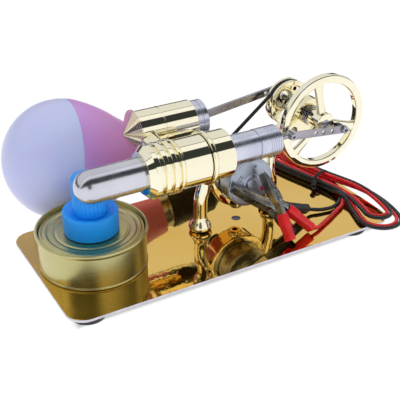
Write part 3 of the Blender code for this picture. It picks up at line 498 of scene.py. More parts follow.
def make_stand():
    ring = turned_shape([(16.0, -9.4, 0.6), (16.0, 0, 1.0), (12.5, 0, 0.4), (12.5, -9.4, 0.3)], FINE, True)
    stand = solid("stand", ring, (MOTOR_X, 35.6, MOTOR_Z), FACING_FRONT)
    foot = [(4.7, 0.3), (5.5, 1.1), (5.7, 2.2), (5.3, 3.5), (4.4, 4.9), (3.7, 6.4), (3.35, 8.2)]
    left = [(LEG_LEFT_X, LEG_Y, 11), (LEG_LEFT_X + 0.4, LEG_Y + 0.2, 17), (84.2, 39.4, 23), (84.4, 40.4, 28),
            (82.8, 41.6, 33), (82.2, 42.4, 38)]
    right = [(LEG_RIGHT_X, LEG_Y, 11), (LEG_RIGHT_X - 0.4, LEG_Y, 17), (120.4, LEG_Y, 23), (120.4, LEG_Y, 27),
             (120.6, LEG_Y, 30.6)]
    legs = []
    for x, upper in ((LEG_LEFT_X, left), (LEG_RIGHT_X, right)):
        route = [Vector((x, LEG_Y, z)) for _, z in foot] + smooth(upper, 4)
        radii = [r for r, _ in foot] + [3.3] * (4 * len(upper) - 3)
        legs.append(solid("leg", swept_shape(route, radii)))
    boss = turned_shape([(0, 6.8), (2.9, 6.8, 0.4), (3.5, 7.7, 0.4), (3.5, 11.0), (0, 11.0)], SMALL)
    saddle = extruded_shape(rounded_rectangle(11.0, 28.0, 2.5, 6), 33.0, 44.0, 1.0)
    carved(stand,
           [*legs, solid("boss", boss, (PLATE_HOLE[0], 39.6, 0)), solid("saddle", saddle, (76.5, 28.0, 0))],
           [hole(FRONT_BODY_RADIUS + 0.05, (82, FRONT_Y, AXIS_Z), (1, 0, 0), 40, FINE),
            hole(REAR_BODY_RADIUS + 0.05, (82, REAR_Y, AXIS_Z), (1, 0, 0), 40, FINE),
            hole(MOTOR_RADIUS + 0.1, (MOTOR_X, 40.0, MOTOR_Z), (0, 1, 0), 30, FINE),
            hole(1.5, (PLATE_HOLE[0], 39.6, 8.0), (0, 0, 1), 8)])
    show(stand, CAST_GOLD, "stand_casting")


def make_bearing_bracket():
    arm = extruded_shape(link_outline((120.8, 35.2), 4.2, (SHAFT_X, AXIS_Z), 8.5, 32), 0, 5.0, 0.7)
    bracket = solid("bracket", arm, (0, BRACKET_FRONT_Y + 5.0, 0), FACING_FRONT)
    sleeve = solid("sleeve", turned_shape(rod_profile(6.3, BRACKET_FRONT_Y + 1, 50.0, 0.6), ROUND),
                   (SHAFT_X, 0, AXIS_Z), ALONG_Y)
    window = extruded_shape(link_outline((127.5, 38.4), 1.3, (133.0, 41.6), 2.0, 10), 0, 10)
    carved(bracket, [sleeve],
           [hole(2.6, (SHAFT_X, 43.0, AXIS_Z), (0, 1, 0), 30),
            hole(5.1, (SHAFT_X, BRACKET_FRONT_Y, AXIS_Z), (0, 1, 0), 6.4, ROUND),
            hole(5.1, (SHAFT_X, 50.0, AXIS_Z), (0, 1, 0), 6.4, ROUND),
            hole(1.7, (120.8, 39.0, 35.2), (0, 1, 0), 12),
            solid("window", window, (0, BRACKET_FRONT_Y + 8.0, 0), FACING_FRONT)])
    show(bracket, CAST_GOLD, "bearing_bracket")
    for side, low in (("front", BRACKET_FRONT_Y + 0.1), ("rear", 47.0)):
        high = low + 2.8
        turned("bearing_" + side,
               [(4.8, low, 0.25), (4.8, high, 0.25), (4.1, high), (4.0, high - 0.35), (3.1, high - 0.35),
                (3.0, high),
                (2.3, high, 0.15), (2.3, low, 0.15), (3.0, low), (3.1, low + 0.35), (4.0, low + 0.35),
                (4.1, low)],
               STEEL, (SHAFT_X, 0, AXIS_Z), ALONG_Y, ROUND, True)


# ---------------------------------------------------------------- crankshaft and wheels

def crank_place(radius, angle, y):
    return (SHAFT_X + radius * math.cos(angle), y, AXIS_Z + radius * math.sin(angle))


def socket_head(name, radius, head, stem, neck, tail, look, centre):
    """Screw with a hexagon socket in its head. Head, neck and tail are places along its axis, parallel to Y."""
    floor = head + 0.7 * (neck - head)  # bottom of the socket
    screw = solid(name, turned_shape([(0, head), (radius, head, 0.3), (radius, neck, 0.1), (stem, neck),
                                      (stem, tail, 0.1), (0, tail)], SMALL), centre, ALONG_Y)
    socket = solid("socket", turned_shape([(0, head - 1), (radius * 0.55, head - 1), (radius * 0.55, floor),
                                           (0, floor)], 6), centre, ALONG_Y)
    carved(screw, cuts=[socket])
    return show(screw, look, name)


def make_crankshaft():
    turned("crank_shaft", rod_profile(SHAFT_RADIUS, 25.0, 59.4, 0.3), STEEL, (SHAFT_X, 0, AXIS_Z), ALONG_Y,
           ROUND)
    low = FLYWHEEL_FRONT_Y
    high = low + FLYWHEEL_WIDTH
    middle = (low + high) / 2
    rim = [(19.6, low + 0.9, 0.8), (21.4, low, 0.9), (FLYWHEEL_RADIUS, low + 0.9, 1.2),
           (FLYWHEEL_RADIUS, high - 0.9, 1.2), (21.4, high, 0.9), (19.6, high - 0.9, 0.8)]
    flywheel = solid("flywheel", turned_shape(rim, FINE, True), (SHAFT_X, 0, AXIS_Z), ALONG_Y)
    hub = turned_shape([(5.0, low - 0.6, 0.5), (5.0, high + 2.4, 0.5), (2.0, high + 2.4), (2.0, low - 0.6)],
                       ROUND, True)
    parts = [solid("hub", hub, (SHAFT_X, 0, AXIS_Z), ALONG_Y)]
    centre = Vector((SHAFT_X, middle, AXIS_Z))
    for k in range(3):
        angle = math.radians(-19 + 120 * k)
        along = Vector((math.cos(angle), 0, math.sin(angle)))
        across = Vector((-math.sin(angle), 0, math.cos(angle)))
        rings = []
        for reach, half, thick in ((2.6, 2.4, 1.9), (5.0, 2.2, 1.7), (10.0, 1.95, 1.5), (16.0, 2.1, 1.5),
                                   (18.8, 2.6, 1.6), (20.6, 3.3, 1.7)):
            rings.append([centre + along * reach + across * half * x + Vector((0, thick * y, 0))
                          for x, y in round_points(1, 24)])
        parts.append(solid("spoke", lofted_shape(rings)))
    bore = hole(SHAFT_RADIUS, (SHAFT_X, 30, AXIS_Z), (0, 1, 0), 30)
    carved(flywheel, parts, [bore])
    show(flywheel, PALE_GOLD, "front_flywheel")
    turned("front_crank_pin", rod_profile(1.6, 22.55, low + 0.9, 0.25), DARK_STEEL,
           crank_place(FRONT_CRANK, FRONT_CRANK_ANGLE, 0), ALONG_Y, SMALL)
    screw = turned_shape([(0, 0.7), (0.5, 0.7), (0.5, 1.4), (1.1, 1.4, 0.15), (1.1, -1.0), (0, -1.0)], SMALL)
    outward = Vector((-math.cos(0.7), 0, math.sin(0.7)))
    grub = solid("hub_set_screw", screw, Vector((SHAFT_X, high + 1.3, AXIS_Z)) + 4.7 * outward,
                 towards(outward))
    show(grub, DARK_STEEL, "hub_set_screw", "crankshaft", "dark_steel")

    low = BELT_WHEEL_FRONT_Y
    high = low + BELT_WHEEL_WIDTH
    groove = BELT_ON_WHEEL - BELT_RADIUS - 0.02
    edge = BELT_WHEEL_RADIUS
    wheel = solid("wheel", turned_shape(
        [(SHAFT_RADIUS, low), (4.2, low, 0.3), (4.4, low + 0.8, 0.3), (9.0, low + 0.8, 0.3), (9.3, low, 0.3),
         (edge, low, 0.4),
         (edge, low + 1.5, 0.3), (groove, low + 1.9, 0.5), (groove, high - 1.9, 0.5), (edge, high - 1.5, 0.3),
         (edge, high, 0.4), (9.3, high, 0.3), (9.0, high - 0.6, 0.3), (4.4, high - 0.6, 0.3),
         (4.2, high, 0.3),
         (SHAFT_RADIUS, high)], FINE, True), (SHAFT_X, 0, AXIS_Z), ALONG_Y)
    windows = []
    for k in range(3):
        angle = REAR_CRANK_ANGLE + math.radians(60 + 120 * k)
        windows.append(hole(2.4, (SHAFT_X + 5.9 * math.cos(angle), low + 3, AXIS_Z + 5.9 * math.sin(angle)),
                            (0, 1, 0), 12))
    carved(wheel, cuts=windows)
    show(wheel, PALE_GOLD, "rear_belt_wheel")
    turned("rear_crank_pin", rod_profile(1.3, low + 0.8, 60.15, 0.2), DARK_STEEL,
           crank_place(REAR_CRANK, REAR_CRANK_ANGLE, 0), ALONG_Y, SMALL)


def make_belt():
    """Open belt round the wheel and the generator pulley."""
    y = BELT_WHEEL_FRONT_Y + BELT_WHEEL_WIDTH / 2
    outline = link_outline((SHAFT_X, AXIS_Z), BELT_ON_WHEEL, (MOTOR_X, MOTOR_Z), BELT_ON_PULLEY, 40)
    belt = solid("belt", swept_shape([Vector((x, y, z)) for x, z in outline], BELT_RADIUS, 16, True))
    show(belt, RUBBER, "drive_belt")


# ---------------------------------------------------------------- displacer side

def front_pivot_x():
    dip = math.asin(FRONT_CRANK * math.sin(-FRONT_CRANK_ANGLE) / FRONT_ROD_LENGTH)
    return crank_place(FRONT_CRANK, FRONT_CRANK_ANGLE, 0)[0] - FRONT_ROD_LENGTH * math.cos(dip)


def rear_pivot_x():
    rise = math.asin(REAR_CRANK * math.sin(REAR_CRANK_ANGLE) / REAR_ROD_LENGTH)
    return crank_place(REAR_CRANK, REAR_CRANK_ANGLE, 0)[0] - REAR_ROD_LENGTH * math.cos(rise)


def make_rod(name, pivot, crank, front_y, thickness, half_width, holes_at):
    """Flat connecting rod with its pivot and crank holes, and the lightening holes."""
    run = (crank[0] - pivot[0], crank[2] - pivot[1])
    length = math.hypot(*run)
    heading = math.atan2(run[1], run[0])
    turn = FACING_FRONT @ Matrix.Rotation(heading, 3, "Z")
    outline = link_outline((0, 0), half_width, (length, 0), half_width, 16)
    rod = solid(name, extruded_shape(outline, 0, thickness, 0.12), (pivot[0], front_y + thickness, pivot[1]),
                turn)
    holes = []
    for distance, radius in [(0, 0.85), (length, 0.85)] + [(along, 0.95) for along in holes_at]:
        share = distance / length
        holes.append(hole(radius, (pivot[0] + run[0] * share, front_y, pivot[1] + run[1] * share), (0, 1, 0),
                          6))
    carved(rod, cuts=holes)
    show(rod, BAR, name)


def make_displacer_side():
    place = (0, FRONT_Y, AXIS_Z)
    wall = 0.7
    dome, inner = HOT_TUBE_RADIUS, HOT_TUBE_RADIUS - wall
    arcs = [math.radians(90 * k / 16) for k in range(17)]
    outside = [(dome * math.sin(a), 20.9 - dome * math.cos(a)) for a in arcs]
    inside = [(inner * math.sin(a), 20.9 - inner * math.cos(a)) for a in reversed(arcs)]
    turned("hot_tube", outside + [(dome, 57.7), (inner, 57.7)] + inside, POLISHED, place, ALONG_X)

    seat = dome + 0.05
    cooler = [(seat, 43.6), (9.3, 43.6, 0.3), (11.9, 46.3, 0.5), (11.9, 48.6, 0.5), (10.4, 49.0, 0.3)]
    for centre in (51.5, 55.4):
        cooler += [(10.4, centre - 1.4, 0.3), (FIN_RADIUS, centre - 1.1, 0.5),
                   (FIN_RADIUS, centre + 1.1, 0.5),
                   (10.4, centre + 1.4, 0.3)]
    cooler += [(10.4, 57.5, 0.2), (FIN_RADIUS, 57.8, 0.3), (FIN_RADIUS, 58.9, 0.3), (10.4, 59.2, 0.2),
               (10.4, 60.0, 0.1),
               (FRONT_BODY_RADIUS, 60.1, 0.3), (FRONT_BODY_RADIUS, 72.9, 0.2), (inner, 72.9), (inner, 58.0),
               (seat, 58.0)]
    turned("finned_cylinder", cooler, PALE_GOLD, place, ALONG_X, closed=True)
    turned("cold_end_block",
           [(1.55, 73.2), (12.4, 73.2, 0.6), (12.4, 74.9, 0.6), (10.6, 75.2, 0.2), (10.6, 75.8, 0.1),
            (FRONT_BODY_RADIUS, 75.9, 0.3), (FRONT_BODY_RADIUS, 85.0, 0.5), (1.55, 85.0)],
           PALE_GOLD, place, ALONG_X, closed=True)
    guide = [(1.55, 85.1), (6.9, 85.1, 0.2), (6.9, 100.2, 0.3), (6.45, 100.5, 0.1), (6.45, 100.8, 0.1),
             (7.1, 101.0, 0.3)]
    for k in range(6):
        start = 105.6 + 1.0 * k
        guide += [(7.1, start), (6.88, start + 0.12), (6.88, start + 0.30), (7.1, start + 0.42)]
    guide += [(7.1, 112.0, 0.5), (6.3, 112.7, 0.5), (5.6, 112.7, 0.3), (5.6, 95.0), (1.55, 95.0)]
    turned("displacer_guide", guide, ALUMINIUM, place, ALONG_X, closed=True)
    turned("displacer", [(0, 35.0), (4.4, 35.0, 1.0), (6.2, 37.0, 1.0), (6.2, 65.0, 0.6), (0, 65.0)],
           STEEL, place, ALONG_X, ROUND)

    pivot_x = front_pivot_x()
    rod = solid("rod", turned_shape(rod_profile(1.25, 65.1, pivot_x - 2.0, 0.2), SMALL), place, ALONG_X)
    eye_y = FRONT_ROD_Y + FRONT_ROD_THICKNESS + 0.1
    tongue = solid("tongue", extruded_shape(link_outline((-4.6, 0), 1.1, (-1.0, 0), 1.3, 8), -24.1, -22.6,
                                            0.2),
                   (pivot_x, 0, AXIS_Z), FACING_FRONT)
    eye = solid("eye", turned_shape(rod_profile(2.1, eye_y, 24.3, 0.3), SMALL), (pivot_x, 0, AXIS_Z), ALONG_Y)
    carved(rod, [tongue, eye], [hole(0.85, (pivot_x, 23, AXIS_Z), (0, 1, 0), 8)])
    show(rod, STEEL, "displacer_rod")
    socket_head("front_wrist_pin", 1.6, 20.1, 0.8, FRONT_ROD_Y - 0.02, 24.2, STEEL, (pivot_x, 0, AXIS_Z))
    crank = crank_place(FRONT_CRANK, FRONT_CRANK_ANGLE, 0)
    make_rod("front_connecting_rod", (pivot_x, AXIS_Z), crank, FRONT_ROD_Y, FRONT_ROD_THICKNESS, 1.9,
             (13.6, 18.2, 23.4))
    socket_head("front_crank_screw", 1.8, 19.9, 0.8, FRONT_ROD_Y - 0.02, 22.4, STEEL, crank)


# ---------------------------------------------------------------- power side

def make_power_side():
    place = (0, REAR_Y, AXIS_Z)
    steps, cone = 13, [(0, 53.5)]
    for k in range(steps):
        radius = 10.84 * (k + 1) / steps
        x = 53.5 + 6.0 * k / steps
        cone += [(max(radius - 0.50, 0.15), x - 0.10, 0.04), (radius, x - 0.05, 0.06),
                 (radius - 0.1, x + 0.34, 0.04)]
    cone += [(10.84, 59.6, 0.1), (0, 59.6)]
    turned("cone_cap", cone, PALE_GOLD, place, ALONG_X)
    port_x, seat = 64.0, 9.12
    body = solid("body", turned_shape(
        [(0, 59.7), (REAR_BODY_RADIUS, 59.7, 0.3), (REAR_BODY_RADIUS, 71.2, 0.15), (9.6, 71.45), (9.6, 71.75),
         (REAR_BODY_RADIUS, 72.0, 0.15), (REAR_BODY_RADIUS, 88.7, 0.4), (seat, 88.7), (seat, 61.8),
         (0, 61.8)], FINE),
        place, ALONG_X)
    carved(body, cuts=[hole(2.0, (port_x, REAR_Y - 9, AXIS_Z), (0, 1, 0), 8)])
    show(body, PALE_GOLD, "power_cylinder")
    turned("cylinder_liner",
           [(9.08, 62.1), (9.08, 91.6, 0.05), (8.85, 91.7), (8.85, 92.0), (9.08, 92.1, 0.05),
            (9.08, 95.0, 0.5), (7.6, 95.0, 0.4),
            (7.6, 62.1)], ALUMINIUM, place, ALONG_X, closed=True)
    pivot_x = rear_pivot_x()
    piston = solid("piston", turned_shape(
        [(0, 77.2), (7.4, 77.2, 0.4), (7.4, 79.4), (7.1, 79.5), (7.1, 80.1), (7.4, 80.2), (7.4, 93.1, 0.3),
         (5.9, 93.1, 0.2),
         (5.9, 82.0, 0.4), (0, 82.0)], FINE), place, ALONG_X)
    carved(piston, cuts=[hole(0.9, (pivot_x, REAR_Y, AXIS_Z), (0, 1, 0), 20)])
    show(piston, STEEL, "power_piston")
    turned("gudgeon_pin", rod_profile(0.8, REAR_Y - 6.9, REAR_Y + 6.9, 0.15), STEEL, (pivot_x, 0, AXIS_Z),
           ALONG_Y,
           SMALL)
    front_y = REAR_Y - REAR_ROD_THICKNESS / 2
    crank = crank_place(REAR_CRANK, REAR_CRANK_ANGLE, 0)
    make_rod("rear_connecting_rod", (pivot_x, AXIS_Z), crank, front_y, REAR_ROD_THICKNESS, 1.85, (41.4,))
    back_y = front_y + REAR_ROD_THICKNESS
    screw = solid("screw", turned_shape([(0, front_y - 0.3), (0.8, front_y - 0.3), (0.8, back_y + 0.05),
                                         (2.0, back_y + 0.05, 0.1),
                                         (2.0, back_y + 1.5, 0.4), (0, back_y + 1.6)], SMALL), crank, ALONG_Y)
    carved(screw, cuts=[hole(1.0, (crank[0], back_y + 1.6, crank[2]), (0, 1, 0), 1.6, 6)])
    show(screw, DARK_STEEL, "rear_crank_screw")


def make_bridge():
    """Barrel between the two cylinders that carries the air passage."""
    bridge = solid("bridge", turned_shape(
        [(0, 30.0), (5.5, 30.0), (5.1, 34.0), (4.85, 38.0), (4.75, 42.0), (4.85, 46.0), (5.1, 50.0),
         (5.5, 54.0), (0, 56.0)],
        ROUND), (62.6, 0, 45.4), ALONG_Y)
    carved(bridge, cuts=[
        hole(FRONT_BODY_RADIUS + 0.02, (64, FRONT_Y, AXIS_Z), (1, 0, 0), 40, FINE),
        hole(FIN_RADIUS + 0.1, (49.2, FRONT_Y, AXIS_Z), (1, 0, 0), 20, FINE),
        hole(REAR_BODY_RADIUS + 0.02, (70, REAR_Y, AXIS_Z), (1, 0, 0), 40, FINE),
        hole(11.1, (50, REAR_Y, AXIS_Z), (1, 0, 0), 19.4, FINE),
        hole(2.0, (64.0, 43, AXIS_Z), (0, 1, 0), 40)])
    show(bridge, CAST_GOLD, "transfer_bridge")


# ---------------------------------------------------------------- generator

def make_generator():
    face = MOTOR_FACE_Y
    place = (MOTOR_X, 0, MOTOR_Z)
    back = face + MOTOR_LENGTH
    turned("motor_can",
           [(1.05, back - 0.8), (11.4, back - 0.8), (11.4, face + 0.9), (MOTOR_RADIUS, face + 0.9, 0.3),
            (MOTOR_RADIUS, back - 0.6, 1.2), (MOTOR_RADIUS - 1.0, back, 0.6), (3.6, back, 0.3),
            (3.2, back + 1.8, 0.3),
            (1.05, back + 1.8)], MOTOR_SILVER, place, ALONG_Y, closed=True)
    cap = solid("end_cap", turned_shape(
        [(0, face - 1.3), (2.4, face - 1.3, 0.3), (2.8, face - 0.9, 0.2), (2.8, face - 0.3, 0.1),
         (4.5, face - 0.3, 0.2),
         (4.6, face, 0.1), (11.2, face, 0.3), (11.4, face + 0.25, 0.1), (12.15, face + 0.3, 0.2),
         (12.15, face + 0.75),
         (1.1, face + 0.75), (1.1, face - 0.7), (0, face - 0.7)], FINE), place, ALONG_Y)
    cuts = []
    for angle, spread in ((150, 14), (215, 14), (20, 16)):
        for radius, half in ((6.2, 0.45), (7.9, 0.7)):
            rings = [(radius * math.cos(a), radius * math.sin(a)) for a in
                     (math.radians(angle + spread * (i / 8 - 1)) for i in range(17))]
            outline = ([(x * (1 + half / radius), y * (1 + half / radius)) for x, y in rings]
                       + [(x * (1 - half / radius), y * (1 - half / radius)) for x, y in reversed(rings)])
            cuts.append(solid("slot", extruded_shape(outline, -0.35, 1), (MOTOR_X, face, MOTOR_Z),
                              FACING_FRONT))
    for angle in (75, 300):
        a = math.radians(angle)
        cuts.append(hole(0.75, (MOTOR_X + 8.6 * math.cos(a), face, MOTOR_Z + 8.6 * math.sin(a)), (0, 1, 0),
                         1.4))
    carved(cap, cuts=cuts)
    show(cap, MOTOR_SILVER, "motor_end_cap")
    dot = solid("motor_polarity_dot", turned_shape([(0, -0.12), (1.5, -0.12, 0.1), (1.5, 0.1), (0, 0.1)],
                                                   SMALL),
                (MOTOR_X + 7.0, face, MOTOR_Z - 4.5), ALONG_Y)
    show(dot, RED_PAINT, "motor_polarity_dot", "root", "red_pvc")
    turned("motor_shaft", rod_profile(1.0, face - 0.4, 59.6, 0.2), STEEL, place, ALONG_Y, SMALL)
    turned("motor_armature",
           [(1.05, 31.0), (5.0, 31.0, 0.3), (5.0, 34.0, 0.3), (9.6, 34.0, 1.5), (9.6, 45.0, 1.5),
            (1.05, 45.0)],
           DARK_STEEL, place, ALONG_Y, ROUND, True)
    middle = BELT_WHEEL_FRONT_Y + BELT_WHEEL_WIDTH / 2
    groove = BELT_ON_PULLEY - BELT_RADIUS - 0.02
    turned("motor_pulley",
           [(1.02, middle - 2.6), (4.4, middle - 2.6, 0.3), (4.4, middle - 1.5, 0.2),
            (groove, middle - 0.9, 0.3),
            (groove, middle + 0.9, 0.3), (4.4, middle + 1.5, 0.2), (4.4, middle + 2.6, 0.3),
            (1.02, middle + 2.6)],
           BLACK_PVC, place, ALONG_Y, ROUND, True)


# ---------------------------------------------------------------- burner

def make_burner():
    place = (*CAN_CENTRE, 0)
    rim, top = CAN_RIM_RADIUS, CAN_RIM_Z
    turned("burner_can",
           [(0, 0.3), (24.0, 0.3), (24.5, 0.05, 0.3), (24.75, 0.5, 0.3), (24.7, 0.9, 0.2),
            (CAN_RADIUS, 1.3, 0.3),
            (CAN_RADIUS, 15.9, 0.6), (rim - 0.2, 16.4, 0.4), (rim, 17.3, 0.6), (rim - 0.4, top, 0.5),
            (rim - 1.3, top, 0.4), (23.9, 16.8, 0.5), (23.5, 15.6), (23.5, 1.1), (0, 1.1)], TIN, place)
    seam_angle = math.radians(62)
    seam = Vector((math.cos(seam_angle), math.sin(seam_angle), 0))
    rings = []
    for z in (1.8, 15.4):
        middle = Vector((*CAN_CENTRE, z)) + seam * (CAN_RADIUS + 0.02)
        side = Vector((-seam.y, seam.x, 0))
        rings.append([middle + side * x + seam * y for x, y in
                      ((-0.7, -0.2), (0.7, -0.2), (0.6, 0.10), (0.2, 0.16), (-0.2, 0.16), (-0.6, 0.10))])
    show(solid("can_side_seam", lofted_shape(rings)), TIN, "can_side_seam", "root", "tin")
    turned("burner_lid",
           [(5.4, 15.8), (5.4, 16.4), (15.6, 16.4, 0.6), (16.4, 16.1, 0.6), (17.6, 16.4, 0.6),
            (19.6, 16.4, 0.8),
            (20.6, 16.9, 0.6), (22.0, 16.9, 0.5), (22.6, 16.5, 0.4), (23.45, 16.5), (23.45, 15.6),
            (20.0, 15.6)], TIN, place, closed=True)
    turned("wick_holder",
           [(2.9, 8.0), (5.0, 8.0, 0.2), (5.0, 16.6), (10.0, 16.6, 0.2), (10.0, 17.5, 0.2), (5.0, 17.5),
            (5.0, 37.0, 0.4), (2.9, 37.0, 0.2)], NICKEL, place, steps=ROUND, closed=True)
    make_wick()
    turned("blue_collar",
           [(12.4, 16.7, 0.3), (12.45, 26.4, 0.6), (11.8, 27.2, 0.5), (8.3, 25.8, 0.4), (7.9, 25.5, 0.2),
            (5.4, 25.5), (5.4, 24.4), (11.0, 24.4), (11.0, 16.7)], BLUE, place, closed=True)
    make_blue_cap()


def make_wick():
    """Twisted cotton wick that stands out of its holder."""
    strands, around, rings = 7, 56, []
    low, high, mouth = 9.0, 38.6, 37.0
    for level in range(15):
        z = low + (high - low) * level / 14
        swell = 1.0 + 0.12 * max(0.0, z - mouth)
        ring = []
        for i, (x, y) in enumerate(round_points(1, around)):
            radius = (2.45 + 0.3 * math.cos(strands * 2 * math.pi * i / around + 0.25 * z)) * swell
            ring.append(Vector((CAN_CENTRE[0] + radius * x, CAN_CENTRE[1] + radius * y, z)))
        rings.append(ring)
    show(solid("wick", lofted_shape(rings)), COTTON, "wick", "root")


def make_blue_cap():
    """Fluted screw cap, hollow and open at the bottom."""
    flutes, low, high = 24, 25.7, 43.2
    around = flutes * 8

    def radius(k, level):
        """The flutes fade out towards the top and the bottom edge."""
        ridge = 0.5 + 0.5 * math.cos(2 * math.pi * k * flutes / around)
        fade = min(1.0, max(0.0, (high - 1.4 - level) / 1.2)) * min(1.0, max(0.15, (level - low) / 1.5))
        return 7.55 - 0.42 * fade * (1.0 - ridge ** 0.6)

    levels = [low, low + 0.4, low + 1.0, low + 1.6] + [low + 2 + 13 * i / 8 for i in range(9)]
    levels += [high - 1.7, high - 1.2, high - 0.7, high - 0.3, high - 0.05]
    shrink = {high - 0.7: 0.985, high - 0.3: 0.95, high - 0.05: 0.90, low: 0.985}
    rings = []
    for level in levels:
        share = shrink.get(level, 1.0)
        rings.append([Vector((share * radius(k, level) * x, share * radius(k, level) * y, level))
                      for k, (x, y) in enumerate(round_points(1, around))])
    cap = solid("cap", lofted_shape(rings), (*CAN_CENTRE, 0))
    inside = turned_shape([(0, low - 2), (6.2, low - 2), (6.2, high - 2.0, 1.0), (0, high - 1.6)], ROUND)
    carved(cap, cuts=[solid("inside", inside, (*CAN_CENTRE, 0))])
    show(cap, BLUE, "blue_cap")


# ---------------------------------------------------------------- lamp

def bulb_axis():
    return Vector((math.cos(BULB_TILT) * math.cos(BULB_TURN), math.cos(BULB_TILT) * math.sin(BULB_TURN),
                   -math.sin(BULB_TILT)))


def make_lamp():
    turn = towards(bulb_axis())
    radius, wall = BULB_RADIUS, 1.2
    arcs = [math.radians(90 * k / 24) for k in range(25)]
    outside = [(radius * math.sin(a), -radius * math.cos(a)) for a in arcs]
    inside = [((radius - wall) * math.sin(a), -(radius - wall) * math.cos(a)) for a in reversed(arcs)]
    turned("bulb_dome", outside + inside, OPAL, BULB_CENTRE, turn)
    knots = [(30.0, 0.05, 0), (29.75, 3.5, 0), (28.9, 7.5, 0), (27.3, 13, 0), (24.4, 20.5, 0),
             (20.6, 28.0, 0),
             (17.6, 35, 0), (15.9, 42, 0), (15.0, 50, 0)]
    housing = [(p.x, p.y) for p in smooth(knots, 4)]
    inner = [(r - 1.6, z) for r, z in reversed(housing)]
    turned("bulb_housing", housing + [(3.0, 50.0), (3.0, 48.4)] + inner[1:], PINK, BULB_CENTRE, turn,
           closed=True)
    make_screw_cap(turn)
    turned("lamp_holder",
           [(0, 78.4), (13.45, 78.4), (13.45, 55.5), (14.4, 55.5, 0.4), (14.4, 60.0, 0.4), (14.1, 60.4, 0.2),
            (14.1, 61.0, 0.2),
            (14.4, 61.4, 0.4), (14.4, 80.0, 1.5), (11.5, 84.0, 1.0), (9.8, 88.0, 1.5), (7.2, 89.6, 1.0),
            (6.2, 93.0, 1.0),
            (5.2, 98.4, 0.8), (4.2, 99.0, 0.4), (2.4, 99.0, 0.2), (2.4, 97.5), (0, 97.5)], RUBBER,
           BULB_CENTRE, turn)


def make_screw_cap(turn):
    """Screw cap of a bulb with a real helix of rounded thread and the contact on its end."""
    around, pitch, low, high = 96, 3.62, 50.3, 72.3
    core, depth = 12.75, 0.35
    rings = []
    for level in range(73):
        z = low + (high - low) * level / 72
        fade = min(1.0, max(0.0, (z - low - 2.7) / 2.0), max(0.0, (high - z) / 2.0))
        ring = []
        for k, (x, y) in enumerate(round_points(1, around)):
            radius = core + depth * fade * math.cos(2 * math.pi * (k / around - z / pitch))
            ring.append(Vector((radius * x, radius * y, z)))
        rings.append(ring)
    for radius, z in ((11.2, 73.2), (8.0, 74.4), (5.2, 75.0), (4.4, 75.9), (4.2, 76.9), (3.4, 77.4)):
        rings.append(round_points(radius, around, z))
    show(solid("screw_cap", lofted_shape(rings), BULB_CENTRE, turn), NICKEL, "bulb_screw_cap")


# ---------------------------------------------------------------- clips

def clip_frame(clip):
    """Rotation of a clip: local X from the pivot away from the jaws, local Z along the pivot pin."""
    tip, pivot, upper, lower = (Vector(clip[k]) for k in ("tip", "pivot", "upper", "lower"))
    back = (pivot - tip).normalized()
    pin = (upper - tip).cross(lower - tip).normalized()
    pin = (pin - back * pin.dot(back)).normalized()
    return Matrix((back, pin.cross(back), pin)).transposed()


def handle_angle(clip, end):
    way = clip_frame(clip).transposed() @ (Vector(clip[end]) - Vector(clip["pivot"]))
    return math.atan2(way.y, way.x), way.length


def jaw_outline(reach, side):
    """Side view of a jaw, with teeth along the line where the two jaws meet."""
    teeth, start = 7, -0.42 * reach
    points = [(2.2, side * 1.0), (0.5, side * 2.5), (-3.0, side * 2.9), (-0.55 * reach, side * 2.2),
              (-0.85 * reach, side * 1.35), (-reach + 0.3, side * 0.85), (-reach, side * 0.35)]
    step = (reach + start) / teeth
    for k in range(teeth):
        x = -reach + step * k
        points += [(x + 0.15 * step, side * 0.12), (x + 0.75 * step, side * 0.62)]
    return points + [(start + 0.3, side * 0.15), (-4.6, side * 0.2), (-3.4, side * 0.5), (-1.2, side * 0.4)]


